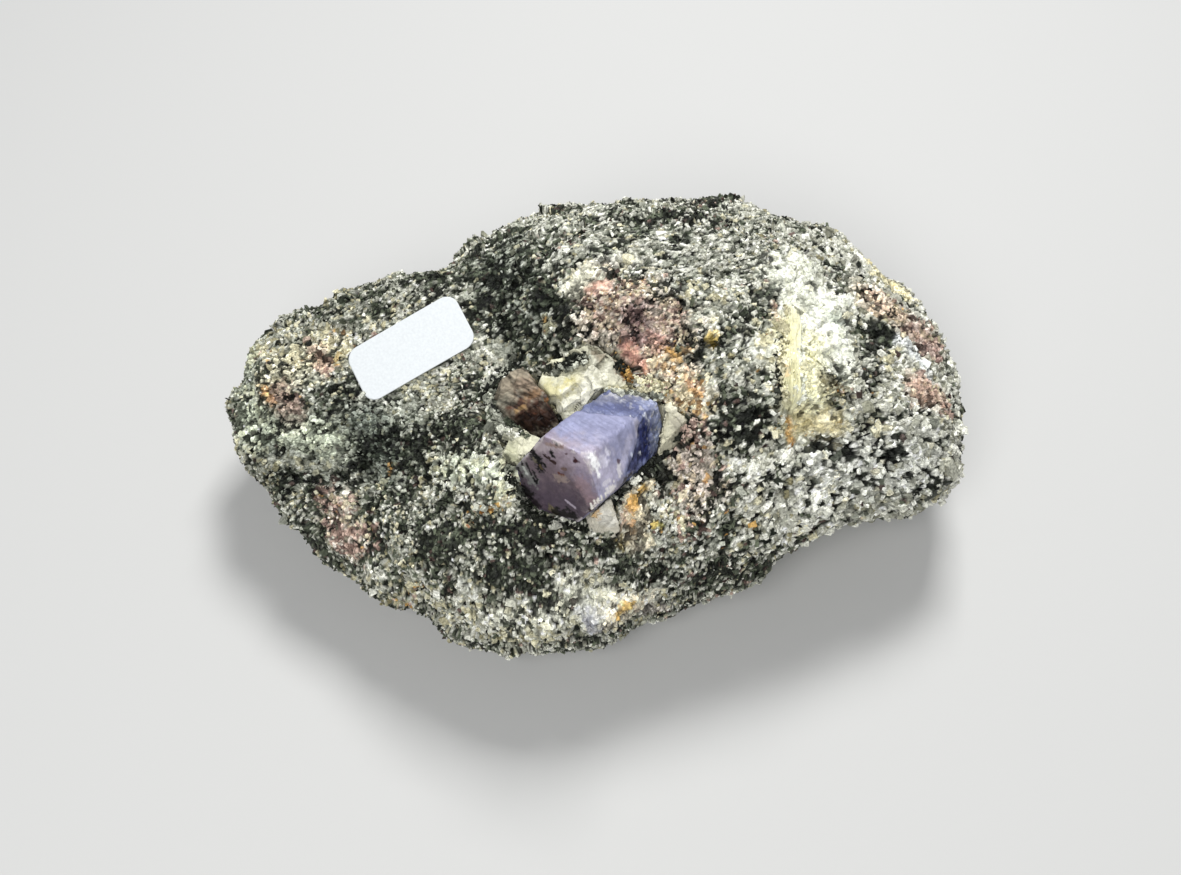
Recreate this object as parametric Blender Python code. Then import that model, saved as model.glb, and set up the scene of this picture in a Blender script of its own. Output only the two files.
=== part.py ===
# Ruby crystal on its host rock: a cobble of mica gneiss that carries one six-sided
# violet-blue crystal in its top, a brown crystal beside it, four pieces of pale feldspar
# round them and a blank paper label on the lower lobe.
# Metres, +Z up. +X runs along the stone. It rests on Z = 0, under the middle of its box.

import bpy
import bmesh
import math
import numpy as np
from mathutils import Matrix, Vector

# The stone in plan: how far it reaches from its middle at each bearing, in degrees from +X
PLAN_MIDDLE = (-0.0005, -0.0037)
PLAN_REACH = [
    (0, 0.0570), (16, 0.0570), (32, 0.0555), (48, 0.0495), (66, 0.0440), (86, 0.0395), (106, 0.0405),
    (122, 0.0375), (136, 0.0370), (150, 0.0450), (164, 0.0550), (178, 0.0540), (194, 0.0460),
    (212, 0.0390), (232, 0.0355), (254, 0.0325), (276, 0.0310), (298, 0.0290), (316, 0.0310),
    (332, 0.0410), (347, 0.0550),
]

# The stone in height: where it is widest, its crown, and how deep the flat base cuts into it
BELLY_HEIGHT = 0.0165
BELLY_TILT = 0.10
CROWN_HEIGHT = 0.043
CROWN_PEAK = (0.0084, 0.0011)
CROWN_FALL = (3.3, 4.0)
BASE_CUT = 0.007
SHOULDER_FULLNESS = 0.82
UNDERCUT_FULLNESS = 1.40
TOP_FULLNESS = 0.80
FOOT_FULLNESS = 0.85

# Broken faces that plane the stone off: a point on each, the way it looks and how far it holds
BROKEN_FACES = [
    ("front slope", (-0.006, -0.027, 0.0300), (-0.06, -0.80, 0.60), 0.032),
    ("right slope", (0.030, -0.019, 0.029), (0.34, -0.64, 0.69), 0.026),
    ("lower left slope", (-0.034, -0.021, 0.020), (-0.50, -0.56, 0.66), 0.020),
    ("left slope", (-0.0264, 0.0032, 0.0305), (-0.22, -0.38, 0.90), 0.021),
    ("left end", (-0.048, 0.004, 0.026), (-0.72, -0.20, 0.66), 0.020),
    ("right end", (0.047, 0.006, 0.032), (0.62, -0.06, 0.78), 0.020),
    ("undercut at the lower right", (0.021, -0.025, 0.012), (0.50, -0.62, -0.60), 0.030),
    ("undercut at the lower left", (-0.036, -0.025, 0.009), (-0.45, -0.55, -0.70), 0.030),
]
PLANED = 0.92

# Lumps and hollows: the middle of each, its reach along X, Y and Z, and its rise
LUMPS = [
    ("valley", (-0.017, 0.006, 0.040), (0.006, 0.011, 0.014), -0.0035),
    ("main hump", (0.010, 0.013, 0.046), (0.022, 0.014, 0.020), 0.0035),
    ("pink dome", (0.005, 0.000, 0.042), (0.008, 0.006, 0.010), 0.0018),
    ("hollow round the crystal", (0.001, -0.011, 0.044), (0.011, 0.008, 0.012), -0.0035),
    ("hollow right of the crystal", (0.009, -0.019, 0.037), (0.006, 0.006, 0.010), -0.0022),
    ("pit before the brown crystal", (-0.0078, -0.0155, 0.0370), (0.0040, 0.0035, 0.0070), -0.0030),
    ("black hollow behind the feldspar", (-0.0055, -0.0045, 0.0390), (0.0035, 0.0025, 0.0060), -0.0018),
    ("saddle in the rim", (-0.028, 0.027, 0.030), (0.009, 0.010, 0.014), -0.0025),
    ("front lobe", (-0.010, -0.031, 0.024), (0.016, 0.010, 0.014), 0.0025),
    ("upper right nodule", (0.048, 0.007, 0.030), (0.005, 0.004, 0.006), 0.0014),
    ("lower right nodule", (0.049, -0.002, 0.029), (0.004, 0.0035, 0.006), 0.0012),
    ("crag at the right", (0.046, -0.015, 0.019), (0.007, 0.007, 0.008), 0.0016),
]

# Ledges: a point on the brow of each, the level way that it drops, how far it runs and its drop
LEDGES = [
    ("ledge left of the dome", (-0.0085, -0.0010, 0.040), (-0.88, -0.47), 0.009, 0.0030),
    ("ledge over the front lobe", (-0.020, -0.0310, 0.020), (-0.45, -0.89), 0.012, 0.0018),
    ("ledge at the lower right", (0.030, -0.0220, 0.024), (0.45, -0.89), 0.012, 0.0016),
]
LEDGE_WIDTH = 0.0014
LEDGE_REACH = 0.006

SWELL = (0.022, 0.0007, 1)
RIPPLE = (0.009, 0.00045, 2)
WAVES_IN_EACH = 24

STONE_CUTS = 5

# The paper label, glued on a flat seat on the left lobe
LABEL_MIDDLE = (-0.0262, 0.0029, 0.0306)
LABEL_LOOKS = (-0.20, -0.37, 0.91)
LABEL_RUNS = (0.868, 0.362, 0.340)
LABEL_SIZE = (0.0184, 0.0089, 0.00025)
LABEL_CORNER = 0.0020
SEAT_MARGIN = 0.0030
SEAT_BLEND = 0.0040
SEAT_DEPTH = 0.008

# Room left between two pieces that touch, and the making of the cut shapes
GAP = 0.0003
BLOCK_SIZE = 0.06
WELD = 0.00001
LABEL_CORNER_CUTS = 4

# The ruby crystal: a six-sided prism that dips into the stone, its near end free.
# Its own axes: +Z out of the near end, +Y up to the ridge of the prism.
RUBY_END = (-0.0046, -0.0249, 0.0380)
RUBY_AXIS = (-0.62, -0.75, 0.23)
RUBY_RIDGE = (0.49, -0.14, 0.86)
RUBY_APOTHEM = 0.0059
RUBY_LENGTH = 0.0177
RUBY_FACES = [
    ("upper face", (-0.50, 0.866, 0.0), RUBY_APOTHEM),
    ("right face", (0.50, 0.866, 0.0), RUBY_APOTHEM),
    ("left side", (-0.99, -0.12, 0.0), 0.0051),
    ("right side", (0.99, 0.10, 0.0), 0.0062),
    ("lower left face", (-0.55, -0.83, 0.0), 0.0060),
    ("lower right face", (0.66, -0.75, 0.0), 0.0060),
    ("foot of the prism", (0.04, -1.0, 0.0), 0.0064),
    ("near end", (0.09, 0.157, 1.0), 0.0),
    ("worn corner of the near end", (0.05, 0.72, 0.69), 0.0037),
    ("far end", (0.0, 0.0, -1.0), RUBY_LENGTH),
    ("far end, broken on the left", (-0.70, 0.10, -0.71), 0.0146),
    ("far end, broken on the right", (0.70, 0.10, -0.71), 0.0150),
    ("step down the right flank", (0.58, 0.81, -0.09), 0.0066),
    ("step down the left flank", (-0.555, 0.82, -0.13), 0.0071),
]

# The other crystals: the middle of each and its faces, each by the way it looks and its
# distance from that middle, in the axes of the stone
BROWN_MIDDLE = (-0.0090, -0.0110, 0.0362)
BROWN_FACES = [
    ("striated top", (-0.30, -0.28, 0.90), 0.0022),
    ("dark front", (0.12, -0.86, 0.48), 0.0028),
    ("lower left bevel", (-0.70, -0.68, 0.25), 0.0036),
    ("sharp right side", (0.85, 0.50, 0.22), 0.0025),
    ("left side", (-0.95, 0.10, 0.25), 0.0040),
    ("back", (-0.40, 0.90, 0.20), 0.0042),
    ("foot", (0.0, 0.0, -1.0), 0.0060),
]
FELDSPARS = {
    "feldspar_back": ((-0.0004, -0.0085, 0.0390), [
        ("left top", (-0.30, -0.34, 0.89), 0.0018),
        ("right top", (0.34, -0.30, 0.89), 0.0020),
        ("front chip", (0.10, -0.80, 0.60), 0.0030),
        ("left", (-0.92, 0.30, 0.25), 0.0056),
        ("lower left", (-0.78, -0.60, 0.15), 0.0054),
        ("back left", (-0.35, 0.90, 0.25), 0.0036),
        ("back right", (0.55, 0.80, 0.25), 0.0044),
        ("right", (0.96, -0.10, 0.25), 0.0055),
        ("front", (0.0, -1.0, 0.0), 0.0060),
        ("foot", (0.0, 0.0, -1.0), 0.0050),
    ]),
    "feldspar_left": ((-0.0096, -0.0182, 0.0352), [
        ("top", (-0.30, -0.45, 0.84), 0.0019),
        ("crest", (0.35, -0.20, 0.91), 0.0021),
        ("left", (-0.92, 0.38, 0.10), 0.0018),
        ("front", (-0.38, -0.92, 0.10), 0.0018),
        ("back", (0.30, 0.95, 0.10), 0.0021),
        ("right", (0.97, -0.20, 0.10), 0.0030),
        ("foot", (0.0, 0.0, -1.0), 0.0042),
    ]),
    "feldspar_right": ((0.0117, -0.0146, 0.0366), [
        ("top", (-0.10, -0.58, 0.81), 0.0017),
        ("crest", (0.30, 0.10, 0.95), 0.0017),
        ("back", (0.515, 0.858, 0.10), 0.0011),
        ("front", (0.62, -0.786, 0.10), 0.0016),
        ("left", (-0.97, 0.10, 0.10), 0.0032),
        ("foot", (0.0, 0.0, -1.0), 0.0042),
    ]),
    "feldspar_front": ((0.0014, -0.0264, 0.0312), [
        ("top", (0.20, -0.60, 0.77), 0.0016),
        ("crest", (-0.30, -0.15, 0.94), 0.0021),
        ("right", (0.92, 0.35, 0.10), 0.0019),
        ("front", (0.25, -0.96, 0.10), 0.0016),
        ("front left", (-0.55, -0.80, 0.25), 0.0016),
        ("left", (-0.90, -0.40, 0.10), 0.0018),
        ("back", (-0.10, 0.99, 0.10), 0.0020),
        ("foot", (0.0, 0.0, -1.0), 0.0042),
    ]),
}


def closed_curve(pairs, bearing):
    """A smooth closed curve through (bearing, reach) pairs, read at any bearings."""
    knots = np.array([pair[0] for pair in pairs], float)
    reach = np.array([pair[1] for pair in pairs], float)
    count = len(pairs)
    bearing = np.mod(bearing, 360.0)
    here = (np.searchsorted(knots, bearing, side="right") - 1) % count
    after = (here + 1) % count
    width = np.mod(knots[after] - knots[here], 360.0)
    along = np.mod(bearing - knots[here], 360.0) / width
    slope = (np.roll(reach, -1) - np.roll(reach, 1)) / np.mod(np.roll(knots, -1) - np.roll(knots, 1), 360.0)
    rise_here = slope[here] * width
    rise_after = slope[after] * width
    return ((2 * along**3 - 3 * along**2 + 1) * reach[here] + (along**3 - 2 * along**2 + along) * rise_here
            + (3 * along**2 - 2 * along**3) * reach[after] + (along**3 - along**2) * rise_after)


def waves(points, length, seed):
    """Even bumpiness of a given wave length: a sum of sines along directions drawn from a seed."""
    draw = np.random.default_rng(seed)
    direction = draw.normal(size=(WAVES_IN_EACH, 3))
    direction /= np.linalg.norm(direction, axis=1)[:, None]
    direction *= 2 * math.pi / (length * draw.uniform(0.75, 1.35, size=(WAVES_IN_EACH, 1)))
    phase = draw.uniform(0, 2 * math.pi, WAVES_IN_EACH)
    return np.sin(points @ direction.T + phase).sum(axis=1) / math.sqrt(WAVES_IN_EACH / 2)


def outward(points):
    """The way out of the stone at each point: away from a spine that lies inside it."""
    spine = np.column_stack([points[:, 0] * 0.75, points[:, 1] * 0.5, np.full(len(points), 0.015)])
    away = points - spine
    return away / np.linalg.norm(away, axis=1)[:, None]


def label_axes():
    """The long way, the short way and the outward way of the label."""
    up = Vector(LABEL_LOOKS).normalized()
    across = up.cross(Vector(LABEL_RUNS)).normalized()
    return across.cross(up), across, up


def label_seat(points):
    """Lays the points under the label, and a little round it, on one plane."""
    runs, across, up = (np.array(axis) for axis in label_axes())
    from_label = points - np.array(LABEL_MIDDLE)
    past_end = np.abs(from_label @ runs) - LABEL_SIZE[0] / 2 - SEAT_MARGIN
    past_side = np.abs(from_label @ across) - LABEL_SIZE[1] / 2 - SEAT_MARGIN
    height = from_label @ up
    outside = np.clip(np.maximum(past_end, past_side) / SEAT_BLEND, 0, 1)
    hold = (1 - outside**2 * (3 - 2 * outside)) * (np.abs(height) < SEAT_DEPTH)
    return points - (hold * height)[:, None] * up


def stone_surface(sphere):
    """Carries the points of a unit sphere to the surface of the stone."""
    bearing = np.degrees(np.arctan2(sphere[:, 1], sphere[:, 0]))
    level = np.hypot(sphere[:, 0], sphere[:, 1])
    lift = sphere[:, 2]
    fullness = np.where(lift > 0, SHOULDER_FULLNESS, UNDERCUT_FULLNESS)
    reach = closed_curve(PLAN_REACH, bearing) * level**fullness
    x = PLAN_MIDDLE[0] + reach * np.cos(np.radians(bearing))
    y = PLAN_MIDDLE[1] + reach * np.sin(np.radians(bearing))
    crown = (CROWN_HEIGHT - CROWN_FALL[0] * (x - CROWN_PEAK[0])**2 - CROWN_FALL[1] * (y - CROWN_PEAK[1])**2)
    belly = BELLY_HEIGHT + BELLY_TILT * y
    upper = belly + (crown - belly) * np.abs(lift)**TOP_FULLNESS
    lower = belly - (belly + BASE_CUT) * np.abs(lift)**FOOT_FULLNESS
    points = np.column_stack([x, y, np.where(lift > 0, upper, lower)])
    for _, on_face, looks, holds in BROKEN_FACES:
        normal = np.array(looks) / np.linalg.norm(looks)
        from_face = points - np.array(on_face)
        proud = np.clip(from_face @ normal, 0, None)
        strength = PLANED / (1 + (np.linalg.norm(from_face, axis=1) / holds)**6)
        points = points - (strength * proud)[:, None] * normal
    for _, middle, spread, rise in LUMPS:
        nearness = np.exp(-(((points - np.array(middle)) / np.array(spread))**2).sum(axis=1))
        points = points + (rise * nearness)[:, None] * outward(points)
    for _, brow, drops, runs, drop in LEDGES:
        from_brow = points - np.array(brow)
        past = from_brow[:, 0] * drops[0] + from_brow[:, 1] * drops[1]
        beside = from_brow[:, 1] * drops[0] - from_brow[:, 0] * drops[1]
        nearness = np.exp(-(beside / runs)**2 - (past / LEDGE_REACH)**2 - (from_brow[:, 2] / runs)**2)
        points = points - (0.5 * drop * np.tanh(past / LEDGE_WIDTH) * nearness)[:, None] * outward(points)
    bumps = sum(height * waves(points, length, seed) for length, height, seed in (SWELL, RIPPLE))
    points = points + bumps[:, None] * outward(points)
    points[:, 2] = np.maximum(points[:, 2], 0.0)
    box_middle = (points.min(axis=0) + points.max(axis=0)) / 2
    return label_seat(points - box_middle * np.array([1.0, 1.0, 0.0]))


def new_collection(name):
    """A collection linked to the scene."""
    collection = bpy.data.collections.new(name)
    bpy.context.scene.collection.children.link(collection)
    return collection


def new_material(name, colour, roughness):
    """A plain Principled material."""
    material = bpy.data.materials.new(name)
    material.use_nodes = True
    shader = material.node_tree.nodes["Principled BSDF"]
    shader.inputs["Base Color"].default_value = (*colour, 1.0)
    shader.inputs["Roughness"].default_value = roughness
    shader.inputs["Metallic"].default_value = 0.0
    material.diffuse_color = (*colour, 1.0)
    return material


def new_object(name, bm, collection, material):
    """An object made from a bmesh, which is freed."""
    mesh = bpy.data.meshes.new(name)
    bm.to_mesh(mesh)
    bm.free()
    piece = bpy.data.objects.new(name, mesh)
    collection.objects.link(piece)
    mesh.materials.append(material)
    return piece


def cleaved(faces, grow=0.0):
    """A convex crystal as a bmesh: a big block cut along each of its faces, which may stand out further."""
    bm = bmesh.new()
    bmesh.ops.create_cube(bm, size=BLOCK_SIZE)
    for _, looks, distance in faces:
        normal = Vector(looks).normalized()
        everything = bm.verts[:] + bm.edges[:] + bm.faces[:]
        cut = bmesh.ops.bisect_plane(bm, geom=everything, plane_co=normal * (distance + grow),
                                     plane_no=normal, clear_outer=True)
        rim = [part for part in cut["geom_cut"] if isinstance(part, bmesh.types.BMEdge)]
        bmesh.ops.edgeloop_fill(bm, edges=rim)
    bmesh.ops.remove_doubles(bm, verts=bm.verts[:], dist=WELD)
    bmesh.ops.recalc_face_normals(bm, faces=bm.faces[:])
    return bm


def add_crystal(name, faces, place, material):
    """A crystal in its place, and the slightly larger room that its neighbours leave for it."""
    crystal = new_object(name, cleaved(faces), PARTS, material)
    room = new_object(name + "_room", cleaved(faces, GAP), CUTTERS, material)
    for piece in (crystal, room):
        piece.matrix_world = place
    room.hide_render = True
    room.display_type = "WIRE"
    return crystal, room


def cut_away(piece, rooms):
    """Takes each room out of a piece."""
    for room in rooms:
        cut = piece.modifiers.new("leave room for " + room.name, "BOOLEAN")
        cut.operation = "DIFFERENCE"
        cut.solver = "EXACT"
        cut.object = room


def ruby_place():
    """Turns the crystal's own axes onto the stone and moves its near end into place."""
    axis = Vector(RUBY_AXIS).normalized()
    across = Vector(RUBY_RIDGE).cross(axis).normalized()
    ridge = axis.cross(across)
    turn = Matrix((across, ridge, axis)).transposed()
    return Matrix.Translation(RUBY_END) @ turn.to_4x4()


def make_matrix():
    """The host rock: a fine sphere carried to the shape of the stone."""
    bm = bmesh.new()
    bmesh.ops.create_icosphere(bm, subdivisions=STONE_CUTS, radius=1.0)
    sphere = np.array([vertex.co[:] for vertex in bm.verts])
    for vertex, place in zip(bm.verts, stone_surface(sphere)):
        vertex.co = place
    return new_object("matrix", bm, PARTS, new_material("gneiss", (0.30, 0.30, 0.28), 0.75))


def make_crystals():
    """The ruby, the brown crystal and the feldspars, each clear of those before it."""
    violet = new_material("corundum", (0.36, 0.33, 0.58), 0.35)
    brown = new_material("brown_crystal", (0.26, 0.15, 0.11), 0.45)
    cream = new_material("feldspar", (0.72, 0.70, 0.55), 0.45)
    _, ruby_room = add_crystal("ruby_crystal", RUBY_FACES, ruby_place(), violet)
    brown_crystal, brown_room = add_crystal(
        "brown_crystal", BROWN_FACES, Matrix.Translation(BROWN_MIDDLE), brown)
    rooms = [ruby_room, brown_room]
    cut_away(brown_crystal, [ruby_room])
    for name, (middle, faces) in FELDSPARS.items():
        feldspar, room = add_crystal(name, faces, Matrix.Translation(middle), cream)
        cut_away(feldspar, rooms[:2])
        rooms.append(room)
    return rooms


def make_label():
    """The paper label: a thin plate with round corners on its seat."""
    bm = bmesh.new()
    bmesh.ops.create_cube(bm, size=1.0)
    bmesh.ops.scale(bm, vec=LABEL_SIZE, verts=bm.verts[:])
    upright = [edge for edge in bm.edges if abs(edge.verts[0].co.z - edge.verts[1].co.z) > LABEL_SIZE[2] / 2]
    bmesh.ops.bevel(bm, geom=upright, offset=LABEL_CORNER, segments=LABEL_CORNER_CUTS, profile=0.5,
                    affect="EDGES")
    label = new_object("label", bm, PARTS, new_material("paper", (0.80, 0.82, 0.84), 0.6))
    runs, across, up = label_axes()
    turn = Matrix((runs, across, up)).transposed()
    middle = Vector(LABEL_MIDDLE) + up * (GAP + LABEL_SIZE[2] / 2)
    label.matrix_world = Matrix.Translation(middle) @ turn.to_4x4()
    return label


for leftover in list(bpy.data.objects):
    bpy.data.objects.remove(leftover, do_unlink=True)
PARTS = new_collection("ruby_crystal_specimen")
CUTTERS = new_collection("cutters")
stone = make_matrix()
cut_away(stone, make_crystals())
make_label()
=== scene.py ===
# %% [markdown]
# # A violet crystal on its host rock
#
# This lesson dresses a plain solid model of a mineral specimen. The rock is a mica gneiss: small grains of
# black mica, grey quartz and white feldspar, grown into each other. One stout six-sided corundum crystal is
# set in its top, with a brown crystal and four pieces of pale feldspar round it, and a small paper label is
# glued on.
#
# The solids already have the right size and place. So nothing here is moved or resized: each new piece is
# laid over its solid, and only its surface, its grains and its colours are worked out here.

# %% Load the frame
import math

import bmesh
import bpy
import numpy as np
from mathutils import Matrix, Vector
from mathutils.bvhtree import BVHTree


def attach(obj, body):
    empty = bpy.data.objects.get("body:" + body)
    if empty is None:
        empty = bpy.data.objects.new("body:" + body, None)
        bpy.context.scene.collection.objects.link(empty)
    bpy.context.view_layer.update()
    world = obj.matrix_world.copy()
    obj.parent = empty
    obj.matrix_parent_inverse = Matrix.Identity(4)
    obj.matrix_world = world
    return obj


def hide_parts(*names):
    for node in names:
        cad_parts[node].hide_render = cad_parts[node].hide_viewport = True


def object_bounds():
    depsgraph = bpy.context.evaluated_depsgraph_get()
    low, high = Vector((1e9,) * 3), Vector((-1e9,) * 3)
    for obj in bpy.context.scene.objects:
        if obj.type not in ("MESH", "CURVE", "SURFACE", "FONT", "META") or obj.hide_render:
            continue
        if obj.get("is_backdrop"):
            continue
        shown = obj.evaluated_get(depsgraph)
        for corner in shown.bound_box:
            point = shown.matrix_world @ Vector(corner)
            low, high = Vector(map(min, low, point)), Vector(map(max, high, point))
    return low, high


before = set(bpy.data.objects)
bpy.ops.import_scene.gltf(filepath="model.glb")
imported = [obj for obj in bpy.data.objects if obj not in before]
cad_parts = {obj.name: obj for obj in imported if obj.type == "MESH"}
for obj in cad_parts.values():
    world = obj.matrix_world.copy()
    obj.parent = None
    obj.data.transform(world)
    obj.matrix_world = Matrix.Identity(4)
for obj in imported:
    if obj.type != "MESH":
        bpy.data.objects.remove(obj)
cad_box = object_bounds()
MM = 0.001
print("solids:", ", ".join(sorted(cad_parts)))
print("box in mm:", [round((high - low) / MM, 1) for low, high in zip(*cad_box)])

# %% [markdown]
# ## The camera
#
# The picture looks down on the stone from the front, 55 degrees above the table. A long lens would flatten
# the stone and a wide one would swell its front, so the lens is a normal one, a quarter of a metre away. The
# same numbers turn a point of the picture into a line of sight, which later finds the place of each patch on
# the rock.

# %% Camera
IMAGE_SIZE = (1181, 875)
LENS = 45.0
SENSOR = 36.0
CAMERA_PLACE = (0.0, -0.1317, 0.2002)
CAMERA_TILT = math.radians(35.0)

camera_data = bpy.data.cameras.new("camera")
camera_data.lens = LENS
camera_data.sensor_width = SENSOR
camera_data.sensor_fit = "HORIZONTAL"
camera_data.dof.use_dof = False
camera = bpy.data.objects.new("camera", camera_data)
camera.location = CAMERA_PLACE
camera.rotation_euler = (CAMERA_TILT, 0.0, 0.0)
bpy.context.scene.collection.objects.link(camera)
bpy.context.scene.camera = camera

AHEAD = np.array([0.0, math.sin(CAMERA_TILT), -math.cos(CAMERA_TILT)])
RIGHTWARD = np.array([1.0, 0.0, 0.0])
UPWARD = np.array([0.0, math.cos(CAMERA_TILT), math.sin(CAMERA_TILT)])
PIXELS_PER_SLOPE = LENS / SENSOR * IMAGE_SIZE[0]


def sight(pixel):
    """The line of sight through a pixel: where it starts and which way it goes."""
    right = (pixel[0] - IMAGE_SIZE[0] / 2) / PIXELS_PER_SLOPE
    down = (pixel[1] - IMAGE_SIZE[1] / 2) / PIXELS_PER_SLOPE
    way = AHEAD + right * RIGHTWARD - down * UPWARD
    return Vector(CAMERA_PLACE), Vector(way / np.linalg.norm(way))


print("camera looks down", 90 - math.degrees(CAMERA_TILT), "degrees")

# %% [markdown]
# ## The table and the light
#
# Stone looks like stone when light rakes over it: every grain then has a bright side and a dark one. One
# large lamp stands behind and above, as a window would, so that the shadow falls towards the viewer. A
# wider lamp, farther away in front, keeps the shadows from going black. The table is a plain pale sheet.

# %% Table and light
FLOOR_SIZE = 3.0
KEY_PLACE = (0.07, 0.24, 0.46)
KEY_SIZE = 0.17
KEY_POWER = 2.5
FILL_PLACE = (-0.12, -0.40, 0.50)
FILL_SIZE = 0.32
FILL_POWER = 3.0
SKY_LIGHT = 0.21
AIM = Vector((0.0, -0.004, 0.022))
SKY_COLOUR = (238, 242, 250)
TABLE_COLOUR = (192, 192, 190)
TABLE_ROUGHNESS = 0.8


def linear(colour):
    """An sRGB colour of 0 to 255 as the linear numbers that shaders use."""
    share = np.array(colour, float) / 255
    return np.where(share <= 0.04045, share / 12.92, ((share + 0.055) / 1.055) ** 2.4)


def area_lamp(name, place, size, power):
    """A square lamp of a given size that faces the stone."""
    data = bpy.data.lights.new(name, "AREA")
    data.size = size
    data.energy = power
    lamp = bpy.data.objects.new(name, data)
    lamp.location = place
    lamp.rotation_euler = (AIM - Vector(place)).to_track_quat("-Z", "Y").to_euler()
    bpy.context.scene.collection.objects.link(lamp)
    return lamp


area_lamp("key lamp", KEY_PLACE, KEY_SIZE, KEY_POWER)
area_lamp("fill lamp", FILL_PLACE, FILL_SIZE, FILL_POWER)
world = bpy.data.worlds.new("studio")
world.use_nodes = True
world.node_tree.nodes["Background"].inputs["Color"].default_value = (*linear(SKY_COLOUR), 1.0)
world.node_tree.nodes["Background"].inputs["Strength"].default_value = SKY_LIGHT
bpy.context.scene.world = world
bpy.context.scene.view_settings.view_transform = "Standard"

floor_mesh = bpy.data.meshes.new("floor")
half = FLOOR_SIZE / 2
floor_corners = [(-half, -half, 0), (half, -half, 0), (half, half, 0), (-half, half, 0)]
floor_mesh.from_pydata(floor_corners, [], [(0, 1, 2, 3)])
floor = bpy.data.objects.new("floor", floor_mesh)
bpy.context.scene.collection.objects.link(floor)
floor_paint = bpy.data.materials.new("pale table")
floor_paint.use_nodes = True
floor_shader = floor_paint.node_tree.nodes["Principled BSDF"]
floor_shader.inputs["Base Color"].default_value = (*linear(TABLE_COLOUR), 1.0)
floor_shader.inputs["Roughness"].default_value = TABLE_ROUGHNESS
floor_mesh.materials.append(floor_paint)
floor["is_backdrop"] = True
print("lamps:", KEY_POWER, "W behind,", FILL_POWER, "W in front")

# %% [markdown]
# ## Noise from whole arrays
#
# Natural surfaces are mostly noise, but each kind of noise looks like something else. Two kinds are enough
# here. Smooth noise blends random heights set at the corners of a lattice of cubes: it makes swells, stains
# and uneven edges. Broken noise cuts space into cells round scattered points and gives each cell a flat,
# tilted face: it makes the small fracture faces of a rock. Both are computed for all points at once.

# %% Noise
CORNERS_OF_CUBE = np.array([(i, j, k) for i in (0, 1) for j in (0, 1) for k in (0, 1)])
NEIGHBOURS = np.array([(i, j, k) for i in (-1, 0, 1) for j in (-1, 0, 1) for k in (-1, 0, 1)])


def scrambled(cells, seed):
    """A repeatable random number from 0 to 1 for each cell of whole numbers (i, j, k)."""
    mix = cells[..., 0] * 73856093 + cells[..., 1] * 19349663 + cells[..., 2] * 83492791 + seed * 15485863
    mix = ((mix ^ (mix >> 13)) * 1274126177) & 0xFFFFFFFF
    mix = ((mix ^ (mix >> 16)) * 668265263) & 0xFFFFFFFF
    return ((mix ^ (mix >> 15)) & 0xFFFFFF) / 0xFFFFFF


def smooth_noise(points, size, seed):
    """Random heights at the corners of cubes of a given size, blended by 3t^2 - 2t^3 inside. From -1 to 1."""
    at = points / size
    cell = np.floor(at).astype(np.int64)
    inside = at - cell
    share = inside * inside * (3 - 2 * inside)
    total = np.zeros(len(points))
    for corner in CORNERS_OF_CUBE:
        weight = np.where(corner, share, 1 - share).prod(axis=1)
        total += weight * (2 * scrambled(cell + corner, seed) - 1)
    return total


def rough_noise(points, size, seed, octaves=3):
    """Smooth noise plus copies of half the size and half the height. From about -1 to 1."""
    layers = [smooth_noise(points, size / 2**k, seed + k) / 2**k for k in range(octaves)]
    return sum(layers) / 1.5


def broken_noise(points, size, seed, tilt=1.0):
    """Flat faces: each point belongs to the nearest of scattered seeds, and its height is that seed's
    random height plus a random slope times the way from the seed. Also how far the point is from its cell's
    border, in cells, and a random number for the cell."""
    at = points / size
    cell = np.floor(at).astype(np.int64)
    nearest = np.full(len(points), 9.0)
    second = np.full(len(points), 9.0)
    height = np.zeros(len(points))
    number = np.zeros(len(points))
    for step in NEIGHBOURS:
        there = cell + step
        place = np.stack([scrambled(there, seed + k) for k in range(3)], axis=1)
        away = at - there - place
        distance = np.linalg.norm(away, axis=1)
        slope = np.stack([scrambled(there, seed + 3 + k) for k in range(3)], axis=1) - 0.5
        own = scrambled(there, seed + 6)
        closer = distance < nearest
        second = np.where(closer, nearest, np.minimum(second, distance))
        height = np.where(closer, own - 0.5 + tilt * (away * slope).sum(axis=1), height)
        number = np.where(closer, own, number)
        nearest = np.where(closer, distance, nearest)
    return height, second - nearest, number


# %% Distances and soft edges
def falloff(distance, edge=0.35):
    """One inside, nothing outside: falls from 1 to 0 as distance goes from 1 - edge to 1 + edge."""
    share = np.clip((1 + edge - distance) / (2 * edge), 0, 1)
    return share * share * (3 - 2 * share)


def reach_from(points, start, end):
    """The distance of each point from the straight line between two places."""
    along = np.asarray(end) - np.asarray(start)
    share = np.clip((points - start) @ along / max(along @ along, 1e-12), 0, 1)
    return np.linalg.norm(points - start - share[:, None] * along, axis=1)


sample = smooth_noise(np.random.default_rng(0).uniform(-0.05, 0.05, (1000, 3)), 5 * MM, 1)
print("smooth noise runs from", sample.min().round(2), "to", sample.max().round(2))

# %% [markdown]
# ## From arrays to a piece
#
# A finished surface is an array of points and an array of faces. Filling the mesh in one go with
# foreach_set is hundreds of times faster than adding faces one by one. Every piece also gets its own map,
# and numbers on its points that its material can read.

# %% From arrays to a piece
MAP_NAME = "OFBake"


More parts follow.
